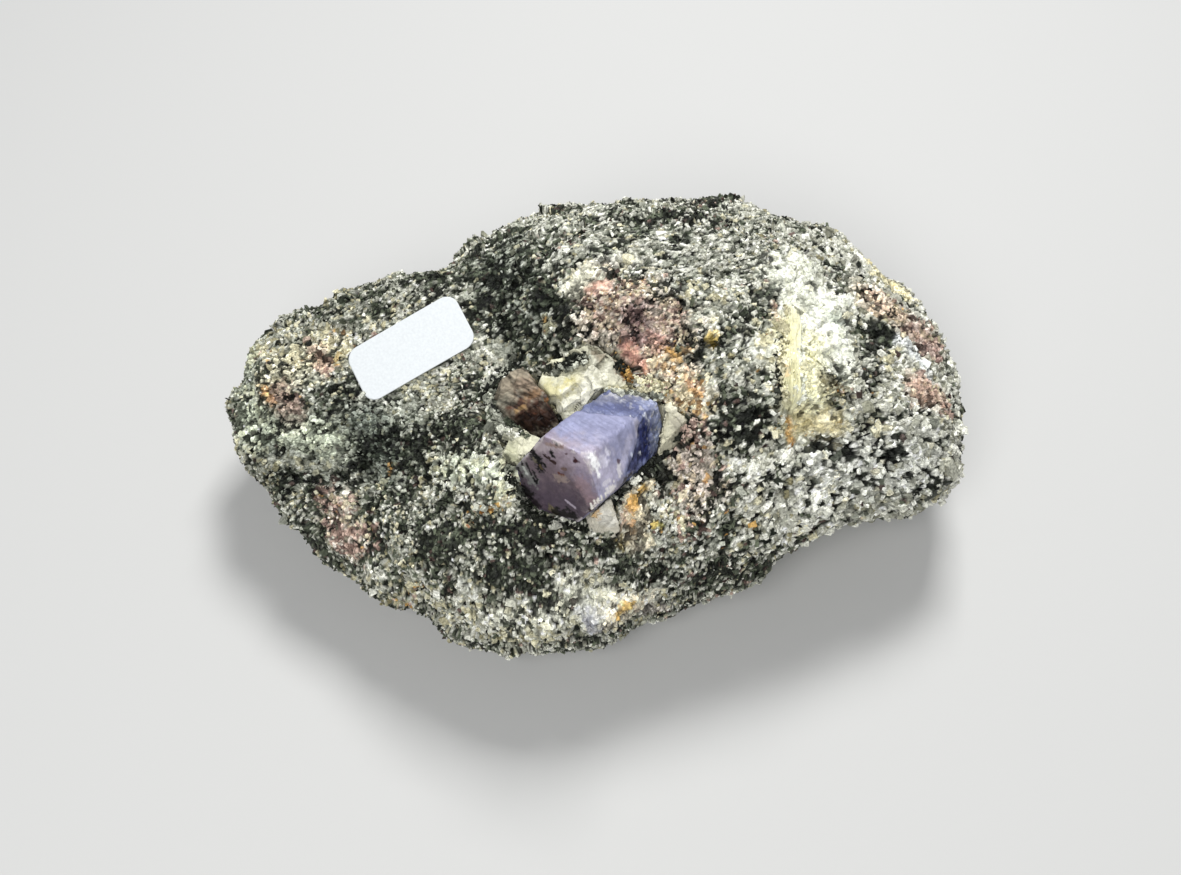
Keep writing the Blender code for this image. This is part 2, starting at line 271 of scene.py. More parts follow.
def new_piece(name, points, faces, material, slot, corner_map=None, smooth=True, **numbers):
    """A piece from points (n, 3) and faces (m, 3 or 4). corner_map has a place on the map for each corner of
    each face. Each further argument is a number or a colour per point, kept under its own name."""
    mesh = bpy.data.meshes.new(name)
    corners = faces.shape[1]
    mesh.vertices.add(len(points))
    mesh.vertices.foreach_set("co", points.astype(np.float32).ravel())
    mesh.loops.add(faces.size)
    mesh.loops.foreach_set("vertex_index", faces.astype(np.int32).ravel())
    mesh.polygons.add(len(faces))
    mesh.polygons.foreach_set("loop_start", np.arange(0, faces.size, corners, dtype=np.int32))
    mesh.update(calc_edges=True)
    mesh.polygons.foreach_set("use_smooth", np.full(len(faces), smooth))
    if corner_map is not None:
        layer = mesh.uv_layers.new(name=MAP_NAME)
        layer.uv.foreach_set("vector", corner_map.astype(np.float32).ravel())
    for label, values in numbers.items():
        if values.ndim == 2:
            colours = np.column_stack([values, np.ones(len(values))])
            mesh.attributes.new(label, "FLOAT_COLOR", "POINT").data.foreach_set(
                "color", colours.astype(np.float32).ravel())
        else:
            mesh.attributes.new(label, "FLOAT", "POINT").data.foreach_set("value", values.astype(np.float32))
    mesh.update()
    piece = bpy.data.objects.new(name, mesh)
    bpy.context.scene.collection.objects.link(piece)
    mesh.materials.append(material)
    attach(piece, "root")
    return piece


# %% Where a line of sight meets the solids
JOIN_WITHIN = 0.001 * MM


def joined_points(*names):
    """A copy of one or more solids' meshes, with their loose triangles joined up."""
    bm = bmesh.new()
    for name in names:
        bm.from_mesh(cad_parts[name].data)
    bmesh.ops.remove_doubles(bm, verts=bm.verts[:], dist=JOIN_WITHIN)
    return bm


def surface_of(*names):
    """A search tree of the solids' surfaces, which answers where a line first meets them."""
    bm = joined_points(*names)
    tree = BVHTree.FromBMesh(bm)
    bm.free()
    return tree


def first_met(tree, starts, ways):
    """Where lines from starts first meet a surface. A line that misses takes the nearest place instead."""
    met = [tree.ray_cast(Vector(start), Vector(way))[0] or tree.find_nearest(Vector(start))[0]
           for start, way in zip(starts, ways)]
    return np.array(met)


rock = surface_of("matrix")
everything = surface_of(*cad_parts)


def seen_at(tree, *pixels):
    """The places on a surface that the camera sees at some pixels."""
    return first_met(tree, *zip(*[sight(pixel) for pixel in pixels]))


print("the crystal's ridge is seen at", (seen_at(everything, (600, 430))[0] / MM).round(1), "mm")

# %% [markdown]
# ## One way to colour stone
#
# Every stone surface here keeps its main colour on its points. The material adds what is finer than the
# points: small cells and noise that make specks lighter or darker, glossier or duller, higher or lower. All
# stones share this, so it is a node group with named inputs, built once and placed in each material.

# %% The specked paint group
DULL_SHINE = 0.14
SPECK_INPUTS = (("Paint", "NodeSocketColor", (0.5, 0.5, 0.5, 1)), ("Dullness", "NodeSocketFloat", 0.5),
                ("Mottle", "NodeSocketFloat", 0.5), ("Specks per metre", "NodeSocketFloat", 3000.0))
SPECK_OUTPUTS = (("Colour", "NodeSocketColor"), ("Roughness", "NodeSocketFloat"),
                 ("Height", "NodeSocketFloat"))
NOISE_PER_SPECK = 0.7
NOISE_SWING = 2.2
DARKEST_SHADE = 0.05
ROUGHNESS_SWING = 0.25


def put(nodes, kind, **values):
    """A new node, with some of its inputs set by name."""
    node = nodes.new(kind)
    for label, value in values.items():
        node.inputs[label.replace("_", " ")].default_value = value
    return node


def maths(tree, operation, first, second):
    """A Math node: two inputs, each a socket or a number, and one output socket."""
    node = tree.nodes.new("ShaderNodeMath")
    node.operation = operation
    for socket, value in zip(node.inputs, (first, second)):
        if isinstance(value, bpy.types.NodeSocket):
            tree.links.new(value, socket)
        else:
            socket.default_value = value
    return node.outputs[0]


def mixed(tree, share, first, second, kind="MIX"):
    """A colour Mix node: its share and two colours are sockets or plain values."""
    node = tree.nodes.new("ShaderNodeMix")
    node.data_type = "RGBA"
    node.blend_type = kind
    for socket, value in ((node.inputs[0], share), (node.inputs[6], first), (node.inputs[7], second)):
        if isinstance(value, bpy.types.NodeSocket):
            tree.links.new(value, socket)
        else:
            socket.default_value = value
    return node.outputs[2]


def make_speck_group():
    """Paint times a shade that changes from speck to speck; the shade's mean is 1."""
    group = bpy.data.node_groups.new("specked paint", "ShaderNodeTree")
    for label, kind, value in SPECK_INPUTS:
        group.interface.new_socket(name=label, in_out="INPUT", socket_type=kind).default_value = value
    for label, kind in SPECK_OUTPUTS:
        group.interface.new_socket(name=label, in_out="OUTPUT", socket_type=kind)
    given = group.nodes.new("NodeGroupInput")
    result = group.nodes.new("NodeGroupOutput")
    place = group.nodes.new("ShaderNodeTexCoord")
    cells = put(group.nodes, "ShaderNodeTexVoronoi", Randomness=1.0)
    fine = put(group.nodes, "ShaderNodeTexNoise", Detail=5.0, Roughness=0.68)
    for texture in (cells, fine):
        group.links.new(place.outputs["Object"], texture.inputs["Vector"])
    group.links.new(given.outputs["Specks per metre"], cells.inputs["Scale"])
    noise_scale = maths(group, "MULTIPLY", given.outputs["Specks per metre"], NOISE_PER_SPECK)
    group.links.new(noise_scale, fine.inputs["Scale"])
    speck = group.nodes.new("ShaderNodeSeparateColor")
    group.links.new(cells.outputs["Color"], speck.inputs["Color"])
    uneven = maths(group, "SUBTRACT", maths(group, "MULTIPLY", fine.outputs[0], NOISE_SWING), NOISE_SWING / 2)
    uneven = maths(group, "ADD", uneven, maths(group, "SUBTRACT", speck.outputs["Red"], 0.5))
    swing = maths(group, "MULTIPLY", uneven, given.outputs["Mottle"])
    shade = maths(group, "MAXIMUM", maths(group, "ADD", 1.0, swing), DARKEST_SHADE)
    grey = group.nodes.new("ShaderNodeCombineColor")
    for channel in grey.inputs:
        group.links.new(shade, channel)
    group.links.new(mixed(group, 1.0, given.outputs["Paint"], grey.outputs["Color"], "MULTIPLY"),
                    result.inputs["Colour"])
    rough = maths(group, "MULTIPLY", maths(group, "SUBTRACT", speck.outputs["Green"], 0.5), ROUGHNESS_SWING)
    group.links.new(maths(group, "ADD", given.outputs["Dullness"], rough), result.inputs["Roughness"])
    group.links.new(maths(group, "ADD", speck.outputs["Blue"], fine.outputs[0]), result.inputs["Height"])
    return group


SPECK_GROUP = make_speck_group()
print("node group:", SPECK_GROUP.name, "with", len(SPECK_GROUP.interface.items_tree), "sockets")


# %% Materials
COAT_ROUGHNESS = 0.25


def new_material(name):
    """An empty material with its Principled shader, and its node tree."""
    material = bpy.data.materials.new(name)
    material.use_nodes = True
    shader = material.node_tree.nodes["Principled BSDF"]
    shader.inputs["Specular IOR Level"].default_value = DULL_SHINE
    return material, material.node_tree, shader


def read_number(tree, label):
    """The node that reads a number or colour kept on the piece's points."""
    node = tree.nodes.new("ShaderNodeAttribute")
    node.attribute_name = label
    return node


def bumped(tree, shader, height, depth):
    """Lets a height, in the shader's eyes only, tilt the surface by up to a depth in metres."""
    bump = put(tree.nodes, "ShaderNodeBump", Strength=1.0, Distance=depth)
    tree.links.new(height, bump.inputs["Height"])
    tree.links.new(bump.outputs["Normal"], shader.inputs["Normal"])


def stone_material(name, mottle, specks, depth, dullness=None, coat=0.0):
    """A stone: its colour is kept on its points as paint, and so is its dullness where none is given."""
    material, tree, shader = new_material(name)
    speckled = tree.nodes.new("ShaderNodeGroup")
    speckled.node_tree = SPECK_GROUP
    speckled.inputs["Mottle"].default_value = mottle
    speckled.inputs["Specks per metre"].default_value = specks
    tree.links.new(read_number(tree, "paint").outputs["Color"], speckled.inputs["Paint"])
    if dullness is None:
        tree.links.new(read_number(tree, "dull").outputs["Fac"], speckled.inputs["Dullness"])
    else:
        speckled.inputs["Dullness"].default_value = dullness
    tree.links.new(speckled.outputs["Colour"], shader.inputs["Base Color"])
    tree.links.new(speckled.outputs["Roughness"], shader.inputs["Roughness"])
    shader.inputs["Coat Weight"].default_value = coat
    shader.inputs["Coat Roughness"].default_value = COAT_ROUGHNESS
    bumped(tree, shader, speckled.outputs["Height"], depth)
    return material


# %% [markdown]
# ## What the rock is made of
#
# Nine minerals make up the whole rock. Each one has its own two shades, its gloss and the shape of its
# grains: mica splits into thin flakes that flash, hornblende grows in short rods, feldspar breaks into
# blocks.

# %% Minerals
# name: darkest and lightest shade, roughness, the grain's length, width and thickness, how high it stands
MINERALS = {
    "mica": ((3, 4, 3), (54, 57, 49), 0.36, (1.10, 0.95, 0.30), -0.6),
    "hornblende": ((14, 18, 14), (106, 113, 94), 0.48, (1.25, 0.70, 0.65), -0.1),
    "quartz": ((72, 75, 64), (206, 208, 192), 0.35, (1.05, 0.95, 0.85), 0.2),
    "feldspar": ((140, 140, 122), (250, 250, 238), 0.45, (1.10, 0.90, 0.75), 0.6),
    "cream": ((140, 134, 102), (240, 235, 204), 0.50, (1.10, 0.90, 0.75), 0.5),
    "rose": ((106, 84, 76), (214, 190, 174), 0.50, (1.00, 0.90, 0.80), 0.2),
    "ochre": ((120, 82, 40), (222, 182, 112), 0.60, (1.00, 0.90, 0.70), 0.1),
    "garnet": ((40, 31, 29), (112, 93, 86), 0.42, (1.00, 0.95, 0.90), -0.2),
    "ice": ((196, 198, 182), (250, 251, 240), 0.30, (1.05, 0.95, 0.85), 0.4),
}
NAMES = list(MINERALS)
DARK_MINERALS = ("mica", "hornblende", "garnet")
DARK_SHADES = np.array([linear(values[0]) for values in MINERALS.values()])
LIGHT_SHADES = np.array([linear(values[1]) for values in MINERALS.values()])
ROUGHNESSES = np.array([values[2] for values in MINERALS.values()])
GRAIN_FORMS = np.array([values[3] for values in MINERALS.values()])
STANDING = np.array([values[4] for values in MINERALS.values()])
print(len(MINERALS), "minerals")

# %% [markdown]
# ## Recipes and patches
#
# The rock is not the same all over. A recipe says how much of each mineral a place holds, how big its
# grains are, how stretched they are and how well they line up with the layers of the gneiss. A patch lays
# one recipe over the stone along a short line. Its two ends are points of the picture, carried to the rock
# along their lines of sight, so a patch has a real place on the stone and doesn't show through on the far
# side.

# %% Recipes
# shares of the nine minerals in their order above; grain size in mm; stretch; order
RECIPES = {
    "gneiss": ((28, 17, 22, 25, 5, 1, 0, 2, 0), 0.53, 1.3, 0.35),
    "green gneiss": ((22, 30, 22, 16, 9, 0, 0, 1, 0), 0.51, 1.3, 0.30),
    "dark gneiss": ((42, 26, 16, 11, 3, 0, 0, 2, 0), 0.51, 1.3, 0.35),
    "mica": ((52, 30, 12, 4, 1, 0, 0, 1, 0), 0.50, 1.3, 0.50),
    "streaks": ((12, 14, 34, 36, 4, 0, 0, 0, 0), 0.42, 2.0, 0.70),
    "coarse": ((16, 3, 8, 66, 6, 0, 0, 1, 0), 0.85, 1.1, 0.10),
    "coarse dark": ((31, 9, 14, 38, 6, 2, 0, 0, 0), 0.70, 1.1, 0.10),
    "pale": ((4, 3, 18, 42, 15, 0, 0, 0, 20), 0.72, 1.2, 0.10),
    "cream": ((9, 7, 16, 26, 40, 1, 1, 0, 0), 0.68, 1.2, 0.10),
    "cream salt": ((14, 7, 16, 40, 22, 0, 0, 1, 0), 0.69, 1.1, 0.10),
    "pale salt": ((6, 3, 16, 46, 24, 0, 0, 0, 5), 0.72, 1.1, 0.10),
    "rosy": ((9, 5, 8, 16, 20, 34, 1, 7, 0), 0.58, 1.2, 0.10),
    "rosy gneiss": ((20, 9, 12, 18, 16, 16, 2, 7, 0), 0.58, 1.2, 0.10),
    "rosy dark": ((34, 10, 10, 14, 11, 12, 1, 8, 0), 0.58, 1.2, 0.10),
    "dome": ((7, 3, 10, 18, 30, 20, 2, 10, 0), 0.44, 1.1, 0.10),
    "garnet": ((14, 0, 0, 0, 2, 18, 0, 66, 0), 0.48, 1.1, 0.10),
    "knob": ((0, 0, 0, 10, 14, 72, 4, 0, 0), 0.85, 1.1, 0.10),
    "rusty": ((8, 4, 8, 18, 34, 12, 14, 2, 0), 0.60, 1.2, 0.10),
    "ochre": ((5, 3, 2, 8, 24, 4, 54, 0, 0), 0.64, 1.3, 0.10),
    "brown": ((20, 16, 20, 6, 26, 4, 8, 0, 0), 0.62, 1.2, 0.10),
    # black mica; it is also laid into holes, a crack, a pocket and the crystal's shadow as painted shade
    "black": ((94, 6, 0, 0, 0, 0, 0, 0, 0), 0.60, 1.2, 0.30),
    "grey salt": ((16, 10, 38, 24, 11, 0, 1, 0, 0), 0.70, 1.1, 0.10),
    "dark salt": ((43, 14, 18, 19, 4, 0, 1, 1, 0), 0.72, 1.1, 0.10),
    "white patch": ((1, 1, 4, 30, 6, 0, 0, 0, 60), 1.30, 1.1, 0.10),
    "yellow patch": ((3, 2, 4, 22, 50, 0, 4, 0, 16), 0.88, 1.3, 0.20),
}
RECIPE_ROWS = {name: np.array([*np.array(shares) / sum(shares), size * MM, stretch, order])
               for name, (shares, size, stretch, order) in RECIPES.items()}
print(len(RECIPES), "recipes")

# %% Patches
# name, pixel at one end, pixel at the other, reach in mm, recipe; later ones lie over earlier ones
PATCHES = [
    ("left lobe", (262, 420), (345, 500), 14.0, "green gneiss"),
    ("upper left rim", (300, 318), (420, 305), 6.0, "green gneiss"),
    ("dark part of the left lobe", (286, 442), (352, 462), 4.6, "dark gneiss"),
    ("left of the middle", (370, 425), (455, 470), 9.0, "dark gneiss"),
    ("front of the middle", (440, 515), (500, 540), 6.0, "dark gneiss"),
    ("right of the front middle", (540, 560), (600, 560), 5.0, "gneiss"),
    ("dark slope", (496, 240), (532, 318), 6.5, "mica"),
    ("dark below the saddle", (452, 288), (505, 338), 4.2, "mica"),
    ("streaks along the top", (575, 214), (765, 224), 5.0, "streaks"),
    ("streaks over the dome", (600, 246), (740, 262), 4.5, "streaks"),
    ("dark column", (736, 340), (748, 440), 4.8, "dark salt"),
    ("dark at the lower right", (735, 530), (805, 525), 3.6, "dark salt"),
    ("black at the patch", (748, 340), (752, 346), 0.8, "black"),
    ("black, lower", (764, 372), (768, 378), 0.7, "black"),
    ("coarse right end", (800, 485), (920, 425), 9.0, "coarse"),
    ("coarse right rim", (850, 250), (930, 300), 5.0, "coarse"),
    ("dark band below the seam", (652, 532), (626, 568), 1.0, "dark gneiss"),
    ("cream along the bottom", (455, 606), (600, 614), 4.6, "cream salt"),
    ("pale bottom rim", (500, 625), (570, 632), 2.6, "pale salt"),
    ("pale over the ochre", (560, 582), (600, 580), 1.6, "pale salt"),
    ("left cream", (250, 352), (335, 345), 3.0, "cream"),
    ("left end", (240, 372), (246, 440), 3.0, "cream salt"),
    ("band over the dome", (562, 282), (628, 262), 1.7, "pale"),
    ("grey right of the dome", (704, 300), (716, 350), 3.4, "grey salt"),
    ("dome", (612, 308), (650, 322), 5.2, "dome"),
    ("coral spot", (592, 287), (602, 284), 1.2, "knob"),
    ("dark line over the dome", (602, 274), (624, 276), 0.5, "black"),
    ("dark line right of the dome", (668, 288), (686, 304), 0.5, "black"),
    ("dark heart of the dome", (635, 318), (639, 334), 1.3, "garnet"),
    ("left flank of the dome", (546, 330), (578, 350), 3.8, "coarse dark"),
    ("brown on the flank", (541, 318), (545, 328), 1.1, "rusty"),
    ("knob", (628, 348), (640, 366), 1.6, "knob"),
    ("rose below the knob", (640, 366), (650, 376), 1.2, "rosy"),
    # painted shade in the hole under the knob, laid as black mica
    ("hole under the knob", (622, 368), (630, 374), 0.9, "black"),
    ("rust below the dome", (664, 368), (698, 404), 2.8, "rusty"),
    ("rust fleck", (670, 350), (676, 356), 0.8, "ochre"),
    ("second rust fleck", (684, 346), (692, 346), 0.6, "ochre"),
    ("black dots right of the dome", (684, 328), (692, 336), 0.8, "black"),
    ("rose right of the crystal", (688, 440), (704, 482), 3.4, "rosy dark"),
    ("rosy brown beside the seam", (672, 500), (690, 530), 2.4, "rosy gneiss"),
    ("rust streak", (713, 445), (706, 478), 0.7, "ochre"),
    ("pale strip", (708, 388), (716, 425), 0.8, "pale"),
    ("pale fleck", (711, 322), (716, 330), 0.9, "pale"),
    ("white patch", (802, 280), (832, 350), 5.0, "white patch"),
    ("white grains left of it", (762, 350), (768, 356), 1.7, "white patch"),
    ("yellow patch", (792, 345), (814, 405), 3.9, "yellow patch"),
    ("foot of the yellow patch", (794, 425), (836, 420), 2.6, "yellow patch"),
    ("rose edge of the patch", (780, 306), (783, 330), 0.8, "rosy"),
    ("rust foot", (790, 430), (792, 445), 0.7, "ochre"),
    ("cream at the right rim", (868, 262), (898, 284), 1.8, "cream"),
    ("rosy right rim", (876, 296), (912, 322), 2.6, "rosy gneiss"),
    ("upper rose nodule", (916, 322), (936, 350), 2.5, "rosy"),
    ("lower rose nodule", (922, 386), (947, 402), 2.5, "rosy"),
    ("black cluster", (879, 332), (891, 340), 1.6, "black"),
    ("dark right of the patch", (862, 330), (872, 384), 1.6, "dark salt"),
    ("brown right of the patch", (826, 380), (846, 392), 2.0, "brown"),
    # painted shade in the crack at the right, laid as black mica
    ("shaded crack", (842, 391), (862, 402), 0.7, "black"),
    ("white vein at the right", (902, 340), (930, 374), 1.3, "pale"),
    ("grey glassy grain", (828, 480), (850, 488), 1.8, "pale"),
    ("white at the bottom", (592, 606), (655, 600), 2.0, "pale"),
    ("ochre spot", (622, 611), (640, 607), 1.5, "ochre"),
    ("pale grain", (462, 583), (467, 590), 1.4, "pale"),
    ("left rose", (315, 352), (327, 369), 1.3, "rosy"),
    ("left ochre", (265, 391), (270, 398), 0.9, "ochre"),
    ("left rose, lower", (279, 386), (292, 412), 2.0, "rosy"),
    ("rose strip above the label", (374, 334), (382, 340), 0.8, "rosy"),
    ("lower left rose", (330, 505), (348, 545), 3.2, "rosy"),
    ("lower left rose, right", (368, 522), (373, 545), 1.7, "rosy"),
    ("brown ledge", (350, 585), (398, 606), 1.6, "rusty"),
    ("cream round the seam", (640, 496), (632, 536), 1.9, "cream"),
    ("ochre seam", (651, 487), (636, 499), 1.0, "ochre"),
    ("ochre seam, middle", (634, 500), (632, 511), 1.0, "ochre"),
    ("ochre seam, lower", (632, 523), (633, 534), 0.8, "ochre"),
    ("ochre foot", (622, 541), (628, 546), 0.9, "ochre"),
    # painted shade in the hole beside the seam, laid as black mica
    ("shade in the hole beside the seam", (647, 499), (654, 517), 1.3, "black"),
    ("cream strip right of the seam", (649, 479), (661, 510), 0.8, "pale"),
    ("cream strip below it", (640, 514), (650, 545), 0.9, "pale"),
    ("black under the seam", (638, 549), (640, 553), 0.7, "black"),
    ("ochre right of it", (656, 524), (661, 527), 0.6, "ochre"),
    # painted shadow: the crystal's shadow on the rock beside its flank, laid as black mica over the pit
    ("shadowed pit right of the crystal", (664, 472), (670, 500), 1.5, "black"),
    # painted shade in the hollow behind the feldspar, laid as black mica
    ("shaded pocket behind the feldspar", (546, 366), (577, 365), 1.3, "black"),
    ("pale in the valley", (478, 345), (502, 356), 1.9, "grey salt"),
    ("cream in the valley", (527, 343), (529, 362), 1.0, "cream"),
]

# %% [markdown]
# ## Stains, veils and calm places
#
# Rust and weather colour a rock without changing its grains. A stain is a thin colour laid over all the
# grains along a short line, and it keeps nearly all of their light and dark. A veil is the same for places
# where one mineral lies in a mass, and it keeps less, because there the grains hardly show. Such places are
# calm as well: their grains stand up less, and fewer loose blocks lie on them. A few stains and veils are
# painted light and shade: one darkens a slope of the left lobe, two lighten the bottom rim, which faces
# down, and one blackens a round hole.

# %% Stains and veils
# name, pixel at one end, pixel at the other, reach in mm, colour, strength: thin colour over all the grains
STAINS = [
    ("dome", (612, 308), (652, 322), 5.0, (184, 158, 142), 0.45),
    ("heart of the dome", (636, 318), (644, 334), 2.2, (116, 88, 96), 0.6),
    ("rose spot right of it", (654, 338), (664, 346), 1.3, (184, 130, 118), 0.5),
    ("cream rim of the dome", (630, 280), (664, 292), 1.2, (206, 190, 160), 0.4),
    ("below the knob", (664, 372), (690, 404), 3.2, (214, 196, 166), 0.35),
    ("rust beside it", (684, 370), (698, 392), 0.9, (212, 156, 104), 0.5),
    ("right of the crystal", (686, 440), (704, 486), 3.2, (176, 140, 130), 0.3),
    ("rose edge of the patch", (776, 304), (780, 322), 0.7, (176, 136, 112), 0.5),
    ("right rim, upper", (880, 300), (930, 345), 2.2, (190, 164, 146), 0.4),
    ("cream of the right rim", (868, 266), (906, 296), 1.6, (226, 214, 168), 0.6),
    ("tan shoulder of the right rim", (866, 294), (896, 314), 2.2, (204, 180, 154), 0.5),
    ("left cream", (262, 385), (330, 350), 2.8, (224, 216, 184), 0.5),
    ("lower left rose", (330, 505), (348, 545), 2.6, (176, 144, 130), 0.35),
    # partly pale grains, partly painted light: lightens the bottom rim, which faces down
    ("white at the bottom", (500, 620), (612, 606), 2.5, (230, 230, 212), 0.42),
    ("green of the left lobe", (290, 430), (380, 440), 7.0, (92, 100, 88), 0.5),
    # painted shade: darkens this slope of the left lobe, which faces the front lamp
    ("shade on the left lobe", (280, 438), (346, 458), 4.4, (52, 58, 50), 0.42),
    ("green of the left rim", (245, 360), (252, 430), 3.0, (186, 196, 172), 0.4),
    ("green of the mica slope", (500, 250), (530, 320), 5.0, (92, 104, 92), 0.4),
    ("left ochre", (264, 392), (270, 400), 0.9, (206, 150, 84), 0.7),
    ("rose of the left lobe", (278, 392), (292, 416), 1.9, (184, 154, 140), 0.5),
    ("upper rose of the left lobe", (317, 354), (327, 367), 1.3, (166, 118, 108), 0.5),
    ("ochre beside it", (337, 358), (339, 364), 0.5, (150, 120, 50), 0.6),
    ("dark green plate", (366, 424), (386, 462), 2.4, (76, 88, 80), 0.55),
    ("rust of the left lobe", (389, 464), (390, 470), 0.5, (150, 108, 40), 0.8),
    ("rust below the middle", (466, 522), (469, 526), 0.5, (150, 92, 40), 0.8),
    ("pale right end", (830, 462), (915, 466), 4.5, (196, 198, 194), 0.3),
    ("green-white left rim", (238, 352), (240, 420), 2.2, (206, 214, 190), 0.5),
]
# the same for places where one mineral lies in a mass, whose grains hardly show
VEILS = [
    ("coral spot", (592, 287), (602, 284), 1.0, (222, 174, 152), 0.6),
    ("crescent over the dome", (572, 288), (594, 272), 1.3, (232, 230, 208), 0.8),
    ("crescent, right part", (604, 262), (650, 262), 1.0, (226, 224, 212), 0.4),
    ("ochre right of the dome", (670, 350), (676, 356), 0.8, (222, 178, 104), 0.6),
    ("second ochre", (684, 346), (692, 346), 0.7, (214, 170, 116), 0.6),
    ("yellow at the pale fleck", (711, 336), (714, 340), 0.8, (232, 200, 96), 0.7),
    ("yellow fleck", (801, 350), (805, 352), 0.7, (226, 200, 104), 0.5),
    ("orange fleck", (785, 366), (786, 374), 0.5, (222, 172, 120), 0.5),
    ("lower orange fleck", (789, 414), (791, 440), 0.5, (214, 160, 90), 0.6),
    ("rose of the right rim", (918, 330), (934, 350), 1.6, (184, 154, 148), 0.5),
    ("right rim, lower", (918, 388), (946, 400), 2.0, (222, 190, 170), 0.65),
    ("white vein at the right", (902, 340), (930, 374), 1.3, (214, 218, 220), 0.6),
    ("violet-grey lump", (588, 612), (594, 626), 1.4, (170, 172, 196), 0.5),
    ("cream mass at the bottom", (572, 592), (600, 600), 2.0, (232, 232, 212), 0.6),
    ("white patch", (800, 284), (832, 345), 4.8, (226, 228, 212), 0.6),
    ("grey glass in the patch", (834, 316), (838, 322), 1.0, (176, 184, 172), 0.6),
    ("yellow patch", (796, 335), (812, 405), 3.4, (230, 226, 188), 0.75),
    ("bright middle of the yellow patch", (806, 350), (806, 400), 1.5, (244, 242, 204), 0.6),
    ("olive shade in the patch", (828, 378), (846, 392), 1.1, (112, 100, 64), 0.45),
    ("foot of the patch", (800, 420), (832, 424), 1.8, (214, 198, 144), 0.5),
    ("knob", (630, 350), (640, 366), 1.2, (216, 156, 138), 0.65),
    ("rust under the knob", (629, 370), (632, 376), 0.6, (160, 98, 44), 0.8),
    ("cream under the seam", (642, 498), (632, 540), 1.7, (226, 214, 188), 0.65),
    # partly the pale ground, partly painted light on the bottom rim, which faces down
    ("pale ground of the ochre", (620, 614), (642, 605), 2.4, (250, 240, 216), 0.85),
    ("seam", (651, 487), (636, 499), 0.9, (214, 174, 94), 0.85),
    ("seam, middle", (634, 500), (632, 511), 0.9, (214, 170, 98), 0.85),
    ("ochre at the bottom", (622, 612), (634, 605), 1.2, (238, 196, 104), 0.8),
    ("pinkish white right of the ochre", (650, 609), (664, 611), 1.1, (222, 212, 204), 0.5),
    ("pink in the seam", (626, 515), (629, 525), 0.8, (222, 190, 170), 0.7),
    ("seam, lower", (632, 523), (633, 534), 0.7, (220, 178, 128), 0.7),
    ("seam, foot", (622, 541), (628, 546), 0.8, (206, 186, 120), 0.7),
    ("cream strip", (640, 514), (650, 545), 0.7, (226, 214, 184), 0.7),
    ("cream strip, upper", (649, 479), (661, 510), 0.6, (224, 220, 200), 0.7),
    ("yellow spot beside it", (656, 524), (661, 527), 0.5, (206, 200, 120), 0.7),
    # painted shade: the inside of the round hole in the left lobe painted nearly black
    ("painted shade in the round hole", (370, 470), (373, 473), 0.8, (16, 20, 18), 0.9),
    ("white rim of the hole", (378, 466), (377, 478), 0.35, (214, 218, 204), 0.8),
]
print(len(STAINS), "stains and", len(VEILS), "veils")

# %% What a place is made of
NOISE_SIZES = np.array([0.35, 0.8, 2.0]) * MM
USUAL_LIGHT = 0.36
TEXTURE_KEPT = 0.95
VEILED_TEXTURE_KEPT = 0.35
# the share of a mineral at which its grains begin to merge, and at which they are one mass
CALM_SHARES = {"ice": (0.0, 0.6), "rose": (0.4, 0.7), "cream": (0.42, 0.56), "ochre": (0.3, 0.5)}
# where the greener left and the coarser right begin, and how much farther they are complete
LEFT_SIDE = (-12 * MM, 18 * MM)
RIGHT_SIDE = (26 * MM, 14 * MM)
SIDES_WANDER, WANDER_SIZE = 8 * MM, 16 * MM
UNEVEN_EDGE = 0.45
PATCH_SOFTNESS = 0.25
LEAST_LIGHT = 0.002


def recipe_at(points):
    """One row per point: the share of each mineral, the grain size, the stretch and the order. The left of
    the stone is greener and the right is coarser, and each patch is painted over what is there."""
    rows = np.tile(RECIPE_ROWS["gneiss"], (len(points), 1))
    wander = SIDES_WANDER * rough_noise(points, WANDER_SIZE, 71)
    for name, shift in (("green gneiss", (LEFT_SIDE[0] - points[:, 0] + wander) / LEFT_SIDE[1]),
                        ("coarse", (points[:, 0] - RIGHT_SIDE[0] + wander) / RIGHT_SIDE[1])):
        share = np.clip(shift, 0, 1)[:, None]
        rows = rows * (1 - share) + RECIPE_ROWS[name] * share
    edge = UNEVEN_EDGE * (smooth_noise(points, 2.2 * MM, 81) + 0.6 * smooth_noise(points, 0.9 * MM, 82))
    for _, start, end, reach, name in PATCHES:
        line = seen_at(rock, start, end)
        share = falloff(reach_from(points, *line) / (reach * MM) + edge, PATCH_SOFTNESS)[:, None]
        rows = rows * (1 - share) + RECIPE_ROWS[name] * share
    return rows


def painted(points, colours, marks, tree, edge=0.55, kept=0.0):
    """Lays each mark's colour over the colours of the points. A mark is a short line between two points of
    the picture, with a reach in mm, a colour and a strength, and noise makes its edge uneven. Some of the
    light and dark of what is there is kept: the mark's colour is multiplied by (brightness / usual one) to
    the power of kept."""
    own_light = (np.maximum(colours.mean(axis=1, keepdims=True), LEAST_LIGHT) / USUAL_LIGHT) ** kept
    uneven = [edge * (smooth_noise(points, size, 83) + 0.7 * smooth_noise(points, size / 2.3, 84))
              for size in NOISE_SIZES]
    for _, start, end, reach, colour, strength in marks:
        fitting = np.searchsorted(NOISE_SIZES, 0.7 * reach * MM) - 1 if reach > 0.5 else 0
        distance = reach_from(points, *seen_at(tree, start, end)) / (reach * MM) + uneven[fitting]
        share = strength * falloff(distance, min(0.2 + 0.25 * reach, 0.8))[:, None]
        colours = colours * (1 - share) + linear(colour) * own_light * share
    return colours


